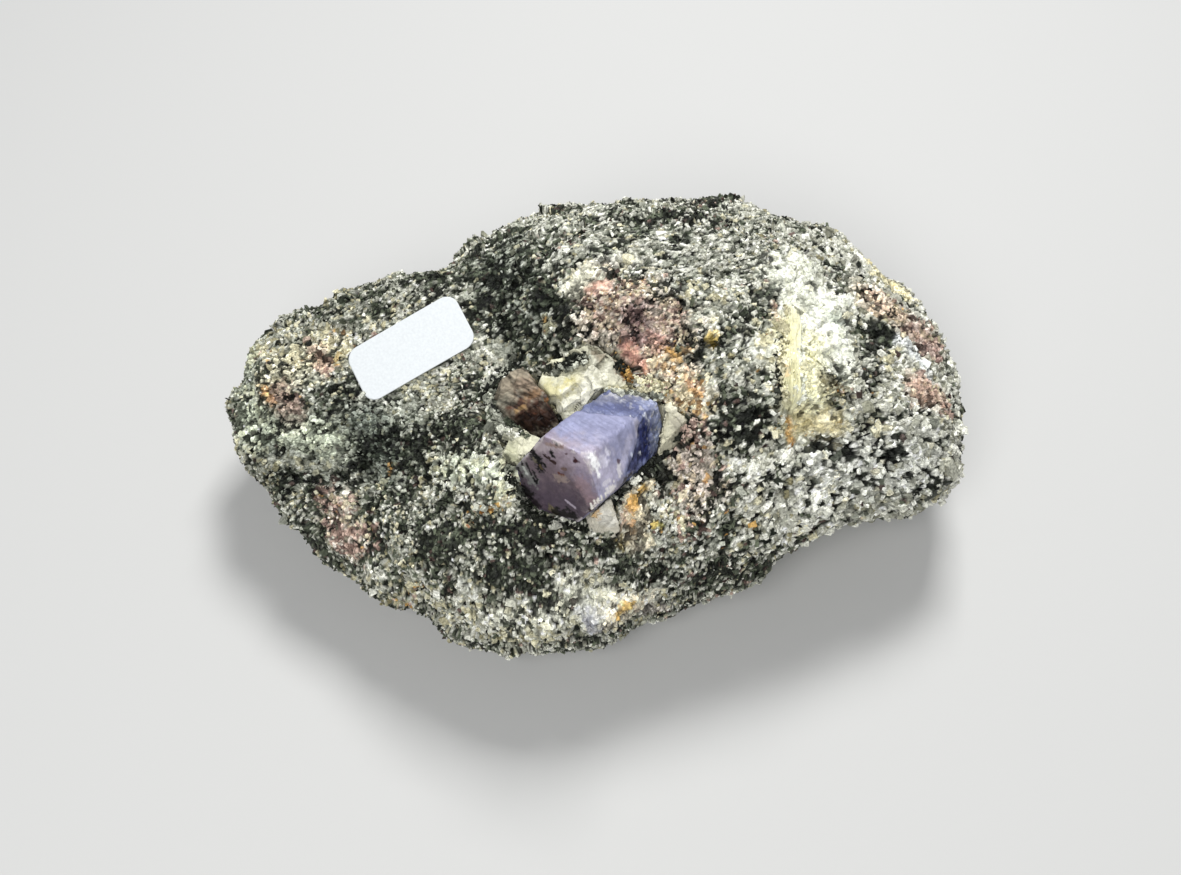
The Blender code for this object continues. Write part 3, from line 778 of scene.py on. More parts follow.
def calmness(rows):
    """How far a place is a mass of one pale mineral, from 0 to 1: there the grains hardly show."""
    calm = np.zeros(len(rows))
    for mineral, (least, most) in CALM_SHARES.items():
        calm += np.clip((rows[:, NAMES.index(mineral)] - least) / (most - least), 0, 1)
    return np.minimum(calm, 1)


print(len(PATCHES), "patches, the largest reaching", max(patch[3] for patch in PATCHES), "mm")

# %% [markdown]
# ## The skin of the stone
#
# The solid's surface has facets two millimetres wide. The new skin is a square net of fine cells, wrapped
# round the stone like a cloth that is gathered underneath. Each knot of the net is thrown at the solid from
# outside and stays where it first meets it. On steep slopes the knots then lie far apart, so a coarse net
# is evened out first: its knots drift towards their neighbours' mean and are put back on the solid, again
# and again. The fine net starts from it. Last come swells and fracture faces, and dents where the picture
# shows holes.

# %% Stone skin
SKIN_ROWS, SKIN_COLUMNS = 800, 590
GRID = (SKIN_ROWS + 1, SKIN_COLUMNS + 1, 3)
COARSE_CELLS = 160
RELAXINGS = 16
UNDERSIDE_CELLS = 0.3
HIGH_ZONE = 30 * MM
EQUATOR = 0.76
LOW_RING = 0.97
LOW_ANGLE = math.radians(128)
GUIDE_MIDDLE = np.array([0, 0, 18]) * MM
GUIDE_HALVES = np.array([56, 37, 28]) * MM
START_SCALE = 1.6
AIM_SCALE = np.array([0.72, 0.45, 0.0])
AIM_HEIGHT = 16 * MM
SUNK = 0.30 * MM


def disc_places(u, v):
    """A square of -1 to 1 pressed into a disc: how far each place is from the middle, and at which angle."""
    wide = np.abs(u) >= np.abs(v)
    far = np.where(wide, u, v)
    near = np.where(wide, v, u)
    turn = math.pi / 4 * near / np.where(far == 0, 1, far)
    angle = np.where(wide, turn, math.pi / 2 - turn)
    return np.abs(far), np.where(far < 0, angle + math.pi, angle)


def round_the_stone(u, v):
    """Where each knot's line starts and which way it goes. Equal areas of the square give equal areas of the
    upper half of the guide ellipsoid: polar angle = 2 asin(distance / equator * sin 45 deg)."""
    far, angle = disc_places(u, v)
    upper = 2 * np.arcsin(np.clip(far / EQUATOR, 0, 1) * math.sin(math.pi / 4))
    lower = np.interp(far, (EQUATOR, LOW_RING, 1), (math.pi / 2, LOW_ANGLE, math.pi))
    polar = np.where(far < EQUATOR, upper, lower)
    ball = np.stack([np.sin(polar) * np.cos(angle), np.sin(polar) * np.sin(angle), np.cos(polar)], axis=-1)
    guide = ball * GUIDE_HALVES
    starts = GUIDE_MIDDLE + START_SCALE * guide
    return starts, guide * AIM_SCALE + (0, 0, AIM_HEIGHT) - starts


# %% Evening out the net
PULL = 0.6


def blurred(grid, passes):
    """A grid of points with each inner point drawn towards the mean of its four neighbours."""
    for _ in range(passes):
        mean = (grid[:-2, 1:-1] + grid[2:, 1:-1] + grid[1:-1, :-2] + grid[1:-1, 2:]) / 4
        grid[1:-1, 1:-1] = 0.5 * grid[1:-1, 1:-1] + 0.5 * mean
    return grid


def evened(grid, passes):
    """The same, but each neighbour pulls as hard as it is far away, so that long and short gaps even out."""
    for _ in range(passes):
        inner = grid[1:-1, 1:-1]
        ways = [part - inner for part in (grid[:-2, 1:-1], grid[2:, 1:-1], grid[1:-1, :-2], grid[1:-1, 2:])]
        pulls = [np.linalg.norm(way, axis=2, keepdims=True) ** 2 for way in ways]
        pulled = sum(way * pull for way, pull in zip(ways, pulls))
        grid[1:-1, 1:-1] = inner + PULL * pulled / np.maximum(sum(pulls), 1e-12)
    return grid


def nearest_on(tree, points):
    """The nearest place on a surface to each point."""
    found = [tree.find_nearest(Vector(point))[0] for point in points.reshape(-1, 3)]
    return np.array(found).reshape(points.shape)


def refined(grid, rows):
    """A finer grid, along straight lines. The new rows share out the running sum of the old rows' gaps, so
    that they come out equally far apart; gaps high on the stone count more."""
    importance = UNDERSIDE_CELLS + (np.maximum(grid[1:, :, 2], 0) / HIGH_ZONE) ** 2
    gaps = (np.linalg.norm(np.diff(grid, axis=0), axis=2) * importance).mean(axis=1)
    run = np.concatenate([[0], np.cumsum(gaps)])
    place = np.interp(np.linspace(0, run[-1], rows + 1), run, np.arange(len(run)))
    low = np.minimum(place.astype(int), len(grid) - 2)
    share = (place - low)[:, None, None]
    return grid[low] * (1 - share) + grid[low + 1] * share


# %% Directions and distances on the net
def unit(vectors):
    """Each vector divided by its length."""
    return vectors / np.maximum(np.linalg.norm(vectors, axis=-1, keepdims=True), 1e-12)


def grid_normals(grid, middle):
    """The outward direction at each point of a grid: the cross product of the ways to its neighbours."""
    normals = unit(np.cross(np.gradient(grid, axis=0), np.gradient(grid, axis=1)))
    inward = (normals * (grid - middle)).sum(axis=-1, keepdims=True) < 0
    return np.where(inward, -normals, normals)


def skin_normals(points):
    """The same for the whole skin. Its gathered edge looks straight down."""
    up = grid_normals(points.reshape(GRID), GUIDE_MIDDLE)
    up[[0, -1]] = up[:, [0, -1]] = (0, 0, -1)
    return up.reshape(-1, 3)


def signed_distance(tree, points, reach):
    """How far each point is outside a surface; less than nothing inside. No more than a given reach."""
    result = np.full(len(points), reach)
    for number, point in enumerate(points):
        place, normal, _, distance = tree.find_nearest(Vector(point), reach)
        if place is not None:
            result[number] = distance if (Vector(point) - place).dot(normal) > 0 else -distance
    return result


# %% The net thrown over the stone
side = np.linspace(-1, 1, COARSE_CELLS + 1)
net_u, net_v = (part.ravel() for part in np.meshgrid(side, side, indexing="ij"))
coarse = first_met(rock, *round_the_stone(net_u, net_v)).reshape(COARSE_CELLS + 1, COARSE_CELLS + 1, 3)
for _ in range(RELAXINGS):
    coarse = nearest_on(rock, evened(blurred(coarse, 1), 5))
skin = refined(refined(coarse, SKIN_ROWS).transpose(1, 0, 2), SKIN_COLUMNS).transpose(1, 0, 2)
skin = blurred(skin.copy(), 12)
skin = blurred(nearest_on(rock, skin), 12).reshape(-1, 3)
skin_up = skin_normals(skin)
print("net of", SKIN_ROWS, "by", SKIN_COLUMNS, "cells,", len(skin), "knots")

# %% Swells, fracture faces and dents
SWELL, SWELL_SIZE = 0.55 * MM, 9 * MM
FACES, FACES_SIZE = 0.75 * MM, 4.2 * MM
BEND, BEND_SIZE = 0.5 * MM, 2 * MM
SMALL_FACES, SMALL_SIZE = 0.38 * MM, 1.7 * MM
BASE_RISE = 1.5 * MM
LABEL_ROOM = 0.7 * MM
LABEL_HEADROOM = 4 * MM
UNDER_LABEL = 0.5 * MM
CRYSTAL_ROOM = 1.2 * MM
FARTHEST_LOOKED = 2 * MM
DENT_SOFTNESS = 0.6
# name, pixel at one end, pixel at the other, reach in mm, depth in mm
DENTS = [
    ("hole under the knob", (629, 370), (634, 380), 1.3, 1.4),
    ("shadowed pit right of the crystal", (664, 472), (669, 498), 1.8, 1.0),
    ("shaded pocket behind the feldspar", (548, 364), (574, 366), 1.5, 1.4),
    ("crack at the right", (840, 389), (862, 402), 0.8, 1.0),
    ("black cluster", (882, 336), (892, 344), 1.5, 0.7),
    ("hole beside the seam", (647, 499), (653, 516), 1.2, 1.3),
    ("dark heart of the dome", (634, 320), (640, 332), 1.6, 0.4),
    ("edge of the patch", (783, 300), (784, 400), 1.0, 0.6),
    ("foot of the patch", (795, 412), (835, 408), 1.2, 0.7),
    ("hole in the left lobe", (369, 468), (372, 474), 1.0, 1.0),
    ("dark dip in the left lobe", (352, 482), (368, 500), 1.4, 0.7),
    ("groove left of the dome", (548, 300), (530, 345), 1.0, 0.7),
    ("groove over the dome", (572, 300), (590, 276), 0.8, 0.4),
    ("dip under the crystal", (560, 530), (590, 528), 1.2, 0.8),
    ("notch at the bottom", (574, 622), (578, 634), 1.0, 0.9),
    ("dip right of the saddle", (492, 322), (508, 352), 2.4, 0.9),
]


# %% The places that stay free
def own_frame(name):
    """A solid's middle and its three own directions, longest first, with half its length along each."""
    solid = joined_points(name)
    points = np.array([point.co[:] for point in solid.verts])
    solid.free()
    middle = (points.min(axis=0) + points.max(axis=0)) / 2
    ways = np.linalg.svd(points - points.mean(axis=0), full_matrices=False)[2]
    along = (points - middle) @ ways.T
    middle = middle + (along.max(axis=0) + along.min(axis=0)) / 2 @ ways
    return middle, ways, (along.max(axis=0) - along.min(axis=0)) / 2


label_middle, label_ways, label_halves = own_frame("label")
label_ways[2] *= np.sign(label_ways[2, 2])
crystals = surface_of("ruby_crystal", "brown_crystal", "feldspar_back", "feldspar_left", "feldspar_right",
                      "feldspar_front")

# %% The relief
relief = SWELL * rough_noise(skin, SWELL_SIZE, 11)
bent = skin + BEND * smooth_noise(skin, BEND_SIZE, 12)[:, None]
relief += FACES * broken_noise(bent, FACES_SIZE, 21, 1.7)[0]
relief += SMALL_FACES * broken_noise(skin, SMALL_SIZE, 31, 1.6)[0]
for _, start, end, reach, depth in DENTS:
    from_dent = reach_from(skin, *seen_at(rock, start, end)) / (reach * MM)
    relief -= depth * MM * falloff(from_dent, DENT_SOFTNESS)
crystal_gap = signed_distance(crystals, skin, FARTHEST_LOOKED)
beyond = np.abs((skin - label_middle) @ label_ways.T) - label_halves - (0, 0, LABEL_HEADROOM)
near_label = falloff(1 + np.maximum(beyond.max(axis=1), -LABEL_ROOM) / LABEL_ROOM, 0.5)
held = np.clip(crystal_gap / CRYSTAL_ROOM, 0, 1) * (1 - near_label)
off_the_base = np.clip(skin[:, 2] / BASE_RISE, 0, 1)
skin = skin + skin_up * ((relief * held + UNDER_LABEL * near_label - SUNK) * off_the_base)[:, None]
skin_up = skin_normals(skin)
print("relief from", (relief.min() / MM).round(2), "to", (relief.max() / MM).round(2), "mm")

# %% [markdown]
# ## Interlocking grains
#
# The grains of a gneiss grew into each other and leave no room between them. So the skin is cut into cells,
# one for each grain. A cell takes its mineral from the recipe of its place, and minerals also gather in
# clusters. Feldspar and quartz stand up with a small tilted face of their own, mica is split away and lies
# lower, and a fine groove runs along the borders.

# %% Grain cells
SIZE_STEPS = np.array([0.46, 0.62, 0.85, 1.25]) * MM
WARP, WARP_SIZE = 0.28 * MM, 0.8 * MM
CLUSTER_SIZE = 2.8 * MM
CLUSTER_STRENGTH = 1.25
OWN_CLUSTER_SIZE = 1.9 * MM
LAYERS_RUN = np.array([0.90, 0.36, 0.14])
LAYER_STRETCH = 0.62
FACE_TILT = 0.40
STREAKY_FROM = 1.7
STREAK_STRETCH = 3.0
GRAIN_STRETCH = 1.15
GROOVE = 0.14 * MM
GROOVE_WIDTH = 0.16
CALMING = 0.4


def mineral_shares(places, rows):
    """The share of each mineral at each place: the recipe's, pushed up and down by cluster noise."""
    shares = rows[:, :len(NAMES)].copy()
    layered = places - LAYER_STRETCH * np.outer(places @ unit(LAYERS_RUN), unit(LAYERS_RUN))
    cluster = smooth_noise(layered, CLUSTER_SIZE, 91) + 0.7 * smooth_noise(layered, CLUSTER_SIZE / 2.2, 92)
    cluster += 0.3 * smooth_noise(layered, CLUSTER_SIZE * 2.6, 93)
    for column, mineral in enumerate(NAMES):
        own = smooth_noise(places, OWN_CLUSTER_SIZE, 101 + column)
        side = -1 if mineral in DARK_MINERALS else 1
        shares[:, column] *= np.exp(CLUSTER_STRENGTH * (side * cluster + 0.9 * own))
    return np.cumsum(shares / shares.sum(axis=1, keepdims=True), axis=1)


def chosen_mineral(steps, number):
    """The mineral whose stretch of the shares, laid end to end, holds a random number."""
    return np.minimum((steps < number[:, None]).sum(axis=1), len(NAMES) - 1)


# %% One grain for each cell
skin_recipe = recipe_at(skin)
warped = skin + WARP * np.stack([smooth_noise(skin, WARP_SIZE, 111 + k) for k in range(3)], axis=1)
nearest_step = np.abs(np.log(skin_recipe[:, -3:-2] / SIZE_STEPS)).argmin(axis=1)
cell_size = SIZE_STEPS[nearest_step]
streaky = skin_recipe[:, -2] > STREAKY_FROM
laid_out = warped / cell_size[:, None]
laid_out[:, 0] /= np.where(streaky, STREAK_STRETCH, GRAIN_STRETCH)
face, border, number = broken_noise(laid_out, 1.0, 121, tilt=2.2)
mineral = chosen_mineral(mineral_shares(skin, skin_recipe), number)
own_tone = np.modf(number * 97.31)[0]
stands = STANDING[mineral]
grain_height = cell_size * (0.28 * stands + FACE_TILT * face * (0.3 + np.abs(stands)))
grain_height -= GROOVE * np.clip(1 - border / GROOVE_WIDTH, 0, 1)
calm = calmness(skin_recipe)
grain_height *= 1 - CALMING * calm
for column, name in enumerate(NAMES):
    print(name, round(float((mineral == column).mean()) * 100, 1), "percent")

# %% [markdown]
# ## The skin's material
#
# Each point keeps the colour of its grain and how rough it is. The material adds what is finer than the
# net: a mottle of small crystals within each grain, and their relief.

# %% Skin of the gneiss
TILE_ROWS, TILE_COLUMNS = 3, 2
FINE_SPECKS = 3600.0
TONE_SIZE = 3 * MM
FINE_TONE, FINE_TONE_SIZE = 0.30, 0.45 * MM
BORDER_SHADE, BORDER_WIDTH = 0.70, 0.11


def cell_triangles(knots):
    """Two triangles for each cell of a net: (this knot, below, across) and (this knot, across, right)."""
    a, b, c, d = (part.ravel() for part in (knots[:-1, :-1], knots[1:, :-1], knots[1:, 1:], knots[:-1, 1:]))
    return np.concatenate([np.stack([a, b, c], axis=1), np.stack([a, c, d], axis=1)])


def whole_ones(triangles):
    """Which triangles still have three different corners."""
    a, b, c = triangles.T
    return (a != b) & (b != c) & (c != a)


def net_part(rows, columns):
    """The triangles of one tile of the net, with their places on the map, and the knots that they use. All
    knots of the gathered edge are one."""
    loose = cell_triangles(np.arange(GRID[0] * GRID[1]).reshape(GRID[:2])[rows, columns])
    row, column = np.divmod(loose, GRID[1])
    at_edge = (row == 0) | (column == 0) | (row == SKIN_ROWS) | (column == SKIN_COLUMNS)
    joined = np.where(at_edge, 0, loose)
    whole = whole_ones(joined)
    flat = np.stack([(row - rows.start) / (rows.stop - 1 - rows.start),
                     (column - columns.start) / (columns.stop - 1 - columns.start)], axis=-1)
    used, renumbered = np.unique(joined[whole], return_inverse=True)
    return used, renumbered.reshape(-1, 3), flat[whole]


shift = grain_height * held * off_the_base
stone = skin + skin_up * shift[:, None]
stone[:, 2] = np.maximum(stone[:, 2], 0)
tone = np.clip(own_tone + 0.25 * smooth_noise(skin, TONE_SIZE, 131), 0, 1)
stone_paint = DARK_SHADES[mineral] + (LIGHT_SHADES[mineral] - DARK_SHADES[mineral]) * tone[:, None]
stone_paint *= (1 - BORDER_SHADE * (1 - 0.6 * calm) * np.clip(1 - border / BORDER_WIDTH, 0, 1))[:, None]
stone_paint *= (1 + FINE_TONE * smooth_noise(skin, FINE_TONE_SIZE, 132))[:, None]
stone_paint = painted(skin, stone_paint, STAINS, rock, kept=TEXTURE_KEPT)
stone_paint = painted(skin, stone_paint, VEILS, rock, kept=VEILED_TEXTURE_KEPT)
dull = ROUGHNESSES[mineral]
gneiss = stone_material("gneiss", 0.65, FINE_SPECKS, 0.10 * MM)
row_ends = np.linspace(0, SKIN_ROWS, TILE_ROWS + 1).astype(int)
column_ends = np.linspace(0, SKIN_COLUMNS, TILE_COLUMNS + 1).astype(int)
for i in range(TILE_ROWS):
    for j in range(TILE_COLUMNS):
        used, faces, flat_map = net_part(slice(row_ends[i], row_ends[i + 1] + 1),
                                         slice(column_ends[j], column_ends[j + 1] + 1))
        tile = new_piece(f"gneiss_{i + 1}_{j + 1}", stone[used], faces, gneiss, "gneiss", flat_map,
                         paint=np.clip(stone_paint[used], 0.002, 0.95), dull=dull[used])
        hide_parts("matrix")
        print(tile.name, len(faces), "triangles")

# %% [markdown]
# ## Nearly forty thousand small blocks
#
# The net can't have sharp corners, and rock has them everywhere. So small blocks are set into the skin,
# each with its eight corners pushed about. Nearly all are more than half sunk. They are turned partly with
# the surface and partly at random, and most take the mineral of the skin under them.

# %% Where the blocks lie
GRAINS = 40000
BLOCK_SIZE = 0.62
GRAINS_IN_ONE_PIECE = 16000
LOWEST_GRAIN = 0.6 * MM
UNDERSIDE_SHARE = 0.3
ROOM_AT_CRYSTALS = 0.12 * MM
FREE_OF_LABEL = 0.05
LIKE_THE_SKIN = 0.72
STREWN = 0.1 * MM
DOWNWARD = -0.35
chance = np.random.default_rng(2026)


def pick_places():
    """Random knots of the skin, more of them where it is larger and where grains are smaller."""
    grid = stone.reshape(GRID)
    area = np.linalg.norm(np.cross(np.gradient(grid, axis=0), np.gradient(grid, axis=1)), axis=2).ravel()
    weight = area / skin_recipe[:, -3] ** 2 * np.where(skin_up[:, 2] < DOWNWARD, UNDERSIDE_SHARE, 1.0)
    weight *= (near_label < FREE_OF_LABEL) * (stone[:, 2] > LOWEST_GRAIN) * (1 - 0.7 * calm)
    rows = chance.choice(len(stone), GRAINS, p=weight / weight.sum(), replace=False)
    return stone[rows] + STREWN * chance.uniform(-1, 1, (GRAINS, 3)), rows


grain_at, grain_row = pick_places()
grain_gap = signed_distance(crystals, grain_at, FARTHEST_LOOKED)
mineral_of = chosen_mineral(mineral_shares(grain_at, skin_recipe[grain_row]), chance.random(GRAINS))
same = chance.random(GRAINS) < LIKE_THE_SKIN
mineral_of = np.where(same, mineral[grain_row], mineral_of)

# %% Blocks and flakes
JITTER = 0.42
SIZE_SPREAD = 0.32
FORM_SPREAD = 0.15
THINNEST = 0.10
SUNK_BY, RAISED_BY = -0.42, 0.04
FLOOR_GAP = 0.01 * MM
FACE_CORNERS = np.array([(0, 1, 3, 2), (4, 6, 7, 5), (0, 4, 5, 1), (2, 3, 7, 6), (0, 2, 6, 4), (1, 5, 7, 3)])
FACE_ON_MAP = np.array([[(0, 0), (1, 0), (1, 1), (0, 1)]]) * 0.8 + 0.1


def block_corners(halves, axes):
    """Eight corners for each block, round its middle: signs * half lengths * (1 + noise), turned into the
    block's own directions."""
    corners = (2 * CORNERS_OF_CUBE - 1) * (1 + JITTER * chance.uniform(-1, 1, (len(halves), 8, 3)))
    return np.einsum("nij,njk->nik", corners * halves[:, None], axes)


def block_faces(count):
    """Six faces for each of a number of blocks."""
    return (FACE_CORNERS + 8 * np.arange(count)[:, None, None]).reshape(-1, 4)


def grain_axes(rows, order):
    """Three directions for each grain: the thin way follows the surface's own, the long way follows the
    layers, each the more the better the place is ordered."""
    random = unit(chance.normal(size=(2, len(rows), 3)))
    thin = unit(skin_up[rows] * (0.35 + order) + random[0] * (1.0 - 0.6 * order))
    along = LAYERS_RUN * order * 1.6 + random[1] * (1 - order)
    along = unit(along - (along * thin).sum(axis=1, keepdims=True) * thin)
    return np.stack([along, np.cross(thin, along), thin], axis=1)


def grain_blocks(places, rows, forms):
    """The corners of each grain's block: its length grows and its width shrinks with the root of the
    stretch, and it is lifted or sunk by a random part of its size."""
    size, stretch, order = skin_recipe[rows, -3:].T
    size = size * BLOCK_SIZE
    count = len(rows)
    axes = grain_axes(rows, order[:, None])
    spread = np.exp(chance.normal(0, SIZE_SPREAD, (count, 1)))
    halves = 0.5 * size[:, None] * spread * forms * (1 + FORM_SPREAD * chance.normal(size=(count, 3)))
    halves[:, 0] *= np.sqrt(stretch)
    halves[:, 1] /= np.sqrt(stretch)
    turned = block_corners(np.maximum(halves, THINNEST * size[:, None]), axes)
    lift = (chance.uniform(SUNK_BY, RAISED_BY, count) * size)[:, None] * skin_up[rows]
    points = places[:, None] + turned + lift[:, None]
    points[..., 2] = np.maximum(points[..., 2], FLOOR_GAP)
    return points.reshape(-1, 3)


def grain_map(count):
    """A cell of the map for each grain, with room for its six faces in three columns and two rows."""
    across = math.ceil(math.sqrt(count))
    cell = np.stack([np.arange(count) % across, np.arange(count) // across], axis=1)
    part = np.array([(k % 3, k // 3) for k in range(6)])
    place = cell[:, None, None] + (part[None, :, None] + FACE_ON_MAP[None]) / (3, 2)
    return (place / across).reshape(-1, 2)


# %% The blocks' meshes
BLOCK_REACH = 0.45
BLOCK_TONE_SIZE = 4 * MM

clear = grain_gap > ROOM_AT_CRYSTALS + skin_recipe[grain_row, -3] * BLOCK_SIZE * BLOCK_REACH
kept = np.flatnonzero(clear)
forms = GRAIN_FORMS[mineral_of]
block_tone = np.clip(chance.random(GRAINS) + 0.2 * smooth_noise(grain_at, BLOCK_TONE_SIZE, 77), 0, 1)
block_paint = DARK_SHADES[mineral_of] + (LIGHT_SHADES - DARK_SHADES)[mineral_of] * block_tone[:, None]
block_paint = painted(grain_at, block_paint, STAINS, rock, kept=TEXTURE_KEPT)
block_paint = painted(grain_at, block_paint, VEILS, rock, kept=VEILED_TEXTURE_KEPT)
for part, some in enumerate(np.array_split(kept, math.ceil(len(kept) / GRAINS_IN_ONE_PIECE))):
    points = grain_blocks(grain_at[some], grain_row[some], forms[some])
    new_piece(f"blocks_{part + 1}", points, block_faces(len(some)), gneiss, "gneiss", grain_map(len(some)),
              smooth=False, paint=np.repeat(block_paint[some], 8, axis=0),
              dull=np.repeat(ROUGHNESSES[mineral_of[some]], 8))
print(len(kept), "blocks kept of", GRAINS)

# %% [markdown]
# ## Crumbs at the crystals' feet
#
# Where a crystal comes out of the rock, crumbs of the rock cling to it and hide the seam. They are the same
# blocks, strewn along short lines of the picture: what the picture shows at a crystal's foot is put there.

# %% Where the crumbs lie
# name, pixel at one end, pixel at the other, spread in mm, number, size in mm, mineral
CRUMBS = [
    ("crumbs along the flank", (612, 498), (632, 478), 0.4, 60, 0.32, "quartz"),
    ("white crumbs along the flank", (610, 498), (620, 490), 0.4, 24, 0.36, "feldspar"),
    ("dark crumbs along the flank", (612, 503), (626, 488), 0.3, 30, 0.30, "mica"),
    ("dark foot of the near end", (530, 516), (586, 530), 0.5, 110, 0.38, "mica"),
    ("pale dots in it", (536, 522), (586, 534), 0.6, 12, 0.30, "cream"),
    ("white dot below the end", (556, 525), (557, 526), 0.1, 2, 0.50, "feldspar"),
    ("left skirt", (504, 474), (520, 504), 0.8, 22, 0.32, "quartz"),
    ("dark left skirt", (508, 474), (530, 512), 0.7, 130, 0.36, "mica"),
    ("crumbs below the brown crystal", (508, 420), (524, 434), 0.6, 40, 0.34, "hornblende"),
    ("pale crumbs below it", (498, 424), (516, 434), 0.7, 50, 0.36, "feldspar"),
    ("crumbs left of the brown crystal", (487, 392), (504, 432), 0.8, 170, 0.46, "quartz"),
    ("dark crumbs left of it", (487, 390), (505, 434), 0.9, 180, 0.44, "mica"),
    ("white crumbs left of it", (488, 398), (506, 436), 0.8, 44, 0.42, "feldspar"),
    ("dark crumbs over its left end", (489, 407), (493, 425), 0.35, 60, 0.46, "hornblende"),
    ("grey crumbs over its left end", (489, 407), (493, 425), 0.40, 60, 0.48, "quartz"),
    ("crumbs over the brown crystal", (489, 386), (513, 362), 0.7, 110, 0.38, "quartz"),
    ("dark crumbs over it", (489, 388), (515, 362), 0.7, 110, 0.38, "mica"),
    ("pale crumbs by the brown crystal", (550, 404), (556, 412), 0.4, 24, 0.32, "cream"),
    ("crumbs over the jagged feldspar", (552, 374), (590, 356), 0.6, 50, 0.38, "quartz"),
    ("dark crumbs over it", (548, 370), (584, 356), 0.6, 80, 0.42, "mica"),
    ("rust by the jagged feldspar", (622, 367), (630, 374), 0.5, 16, 0.36, "ochre"),
    ("dark crumbs by it", (616, 364), (626, 372), 0.5, 26, 0.36, "mica"),
    ("crumbs at the far end", (604, 388), (660, 390), 0.5, 90, 0.34, "cream"),
    ("grey crumbs at the far end", (604, 388), (664, 396), 0.5, 90, 0.32, "quartz"),
    ("cream crumbs behind the far end", (636, 378), (664, 388), 0.7, 60, 0.38, "cream"),
    ("rosy crumbs behind it", (640, 380), (664, 388), 0.7, 20, 0.34, "rose"),
    ("rust at the far end", (622, 376), (632, 380), 0.4, 12, 0.34, "ochre"),
    ("dark foot of the flank", (634, 478), (666, 452), 0.6, 130, 0.42, "mica"),
    ("pale crumbs below the flank", (628, 482), (640, 476), 0.6, 26, 0.40, "feldspar"),
    ("dark rim of the right feldspar", (676, 440), (692, 418), 0.5, 70, 0.38, "mica"),
    ("rosy rim of the right feldspar", (682, 440), (696, 422), 0.6, 24, 0.36, "rose"),
    ("white crumbs at the pale strip", (796, 312), (800, 400), 0.9, 120, 0.50, "ice"),
    ("cream crumbs left of it", (782, 320), (786, 396), 0.7, 110, 0.46, "cream"),
    ("pale crumbs on the strip", (790, 306), (792, 400), 0.9, 90, 0.38, "cream"),
    ("dark crumbs left of it", (777, 330), (780, 400), 0.5, 50, 0.38, "mica"),
]


# %% Crumbs
CRUMB_SPREAD = 0.35
CRUMB_SINK = 0.1 * MM
CRUMB_DULLNESS = 0.5


def crumb_points(places, size, form):
    """Blocks like those of the rock, turned at random."""
    count = len(places)
    turns = unit(chance.normal(size=(2, count, 3)))
    third = unit(np.cross(turns[0], turns[1]))
    axes = np.stack([turns[0], np.cross(third, turns[0]), third], axis=1)
    halves = 0.5 * size * np.exp(chance.normal(0, CRUMB_SPREAD, (count, 1))) * form
    return (places[:, None] + block_corners(halves, axes)).reshape(-1, 3)


crumbs, crumb_paint = [], []
for name, start, end, spread, count, size, kind in CRUMBS:
    pixels = np.linspace(start, end, count)
    places = seen_at(everything, *pixels) + spread * MM * chance.uniform(-1, 1, (count, 3)) * (1, 1, 0.3)
    places = nearest_on(everything, places) - (0, 0, CRUMB_SINK)
    column = NAMES.index(kind)
    crumbs.append(crumb_points(places, size * MM, GRAIN_FORMS[column]))
    shade = chance.random((count, 1))
    crumb_paint.append(DARK_SHADES[column] * (1 - shade) + LIGHT_SHADES[column] * shade)
crumbs, crumb_paint = np.concatenate(crumbs), np.concatenate(crumb_paint)
new_piece("crumbs", crumbs, block_faces(len(crumb_paint)), gneiss, "gneiss", grain_map(len(crumb_paint)),
          smooth=False, paint=np.repeat(crumb_paint, 8, axis=0), dull=np.full(len(crumbs), CRUMB_DULLNESS))
print(len(crumb_paint), "crumbs")

# %% [markdown]
# ## Nets for the crystals
#
# A crystal's skin is a net as well, but a simpler one: rows from one end to the other and columns round it.
# Its lines start on the crystal's own axis and go outwards, so every knot lands on the solid's face. A
# slight blur rounds the edges, and how far it moved a knot tells where the edges are, for chips and wear.

# %% Crystal nets
CAP_SHARE = 0.30
CAP_ANGLE = math.radians(78)
WORN_PASSES = 40
EDGE_LOOKED, EDGE_MOVED = 12, 0.06 * MM


def net_triangles(rows, columns):
    """The triangles of a closed net whose first and last rows are gathered to a point, and its map. They look
    the way of (along the rows) x (along the columns)."""
    loose = cell_triangles(np.arange(rows * (columns + 1)).reshape(rows, columns + 1))
    row, column = np.divmod(loose, columns + 1)
    flat = np.stack([column / columns, row / (rows - 1)], axis=-1)
    joined = row * columns + column % columns
    joined = np.where(row == 0, 0, np.where(row == rows - 1, (rows - 1) * columns, joined))
    whole = whole_ones(joined)
    return joined[whole], flat[whole]


def crystal_lines(middle, axis, half_length, rows, columns):
    """Lines that leave the axis: lengthways at the two ends, sideways between them. Each goes
    sin(polar) * (cos(turn) * first + sin(turn) * second) + cos(polar) * axis."""
    third = unit(np.asarray(axis, float))
    first = unit(np.cross(third, (0.3, 0.1, 1.0)))
    second = np.cross(third, first)
    part = np.linspace(0, 1, rows)
    ends = (0, CAP_SHARE, 1 - CAP_SHARE, 1)
    if half_length > 0:
        polar = np.interp(part, ends, (0, CAP_ANGLE, math.pi - CAP_ANGLE, math.pi))
    else:
        polar = math.pi * part
    start = np.interp(part, ends, (half_length, half_length, -half_length, -half_length))
    turn = np.linspace(0, 2 * math.pi, columns, endpoint=False)
    polar, turn = (grid.ravel() for grid in np.meshgrid(polar, turn, indexing="ij"))
    ways = (np.outer(np.sin(polar) * np.cos(turn), first) + np.outer(np.sin(polar) * np.sin(turn), second)
            + np.outer(np.cos(polar), third))
    return middle + np.repeat(start, columns)[:, None] * third, ways


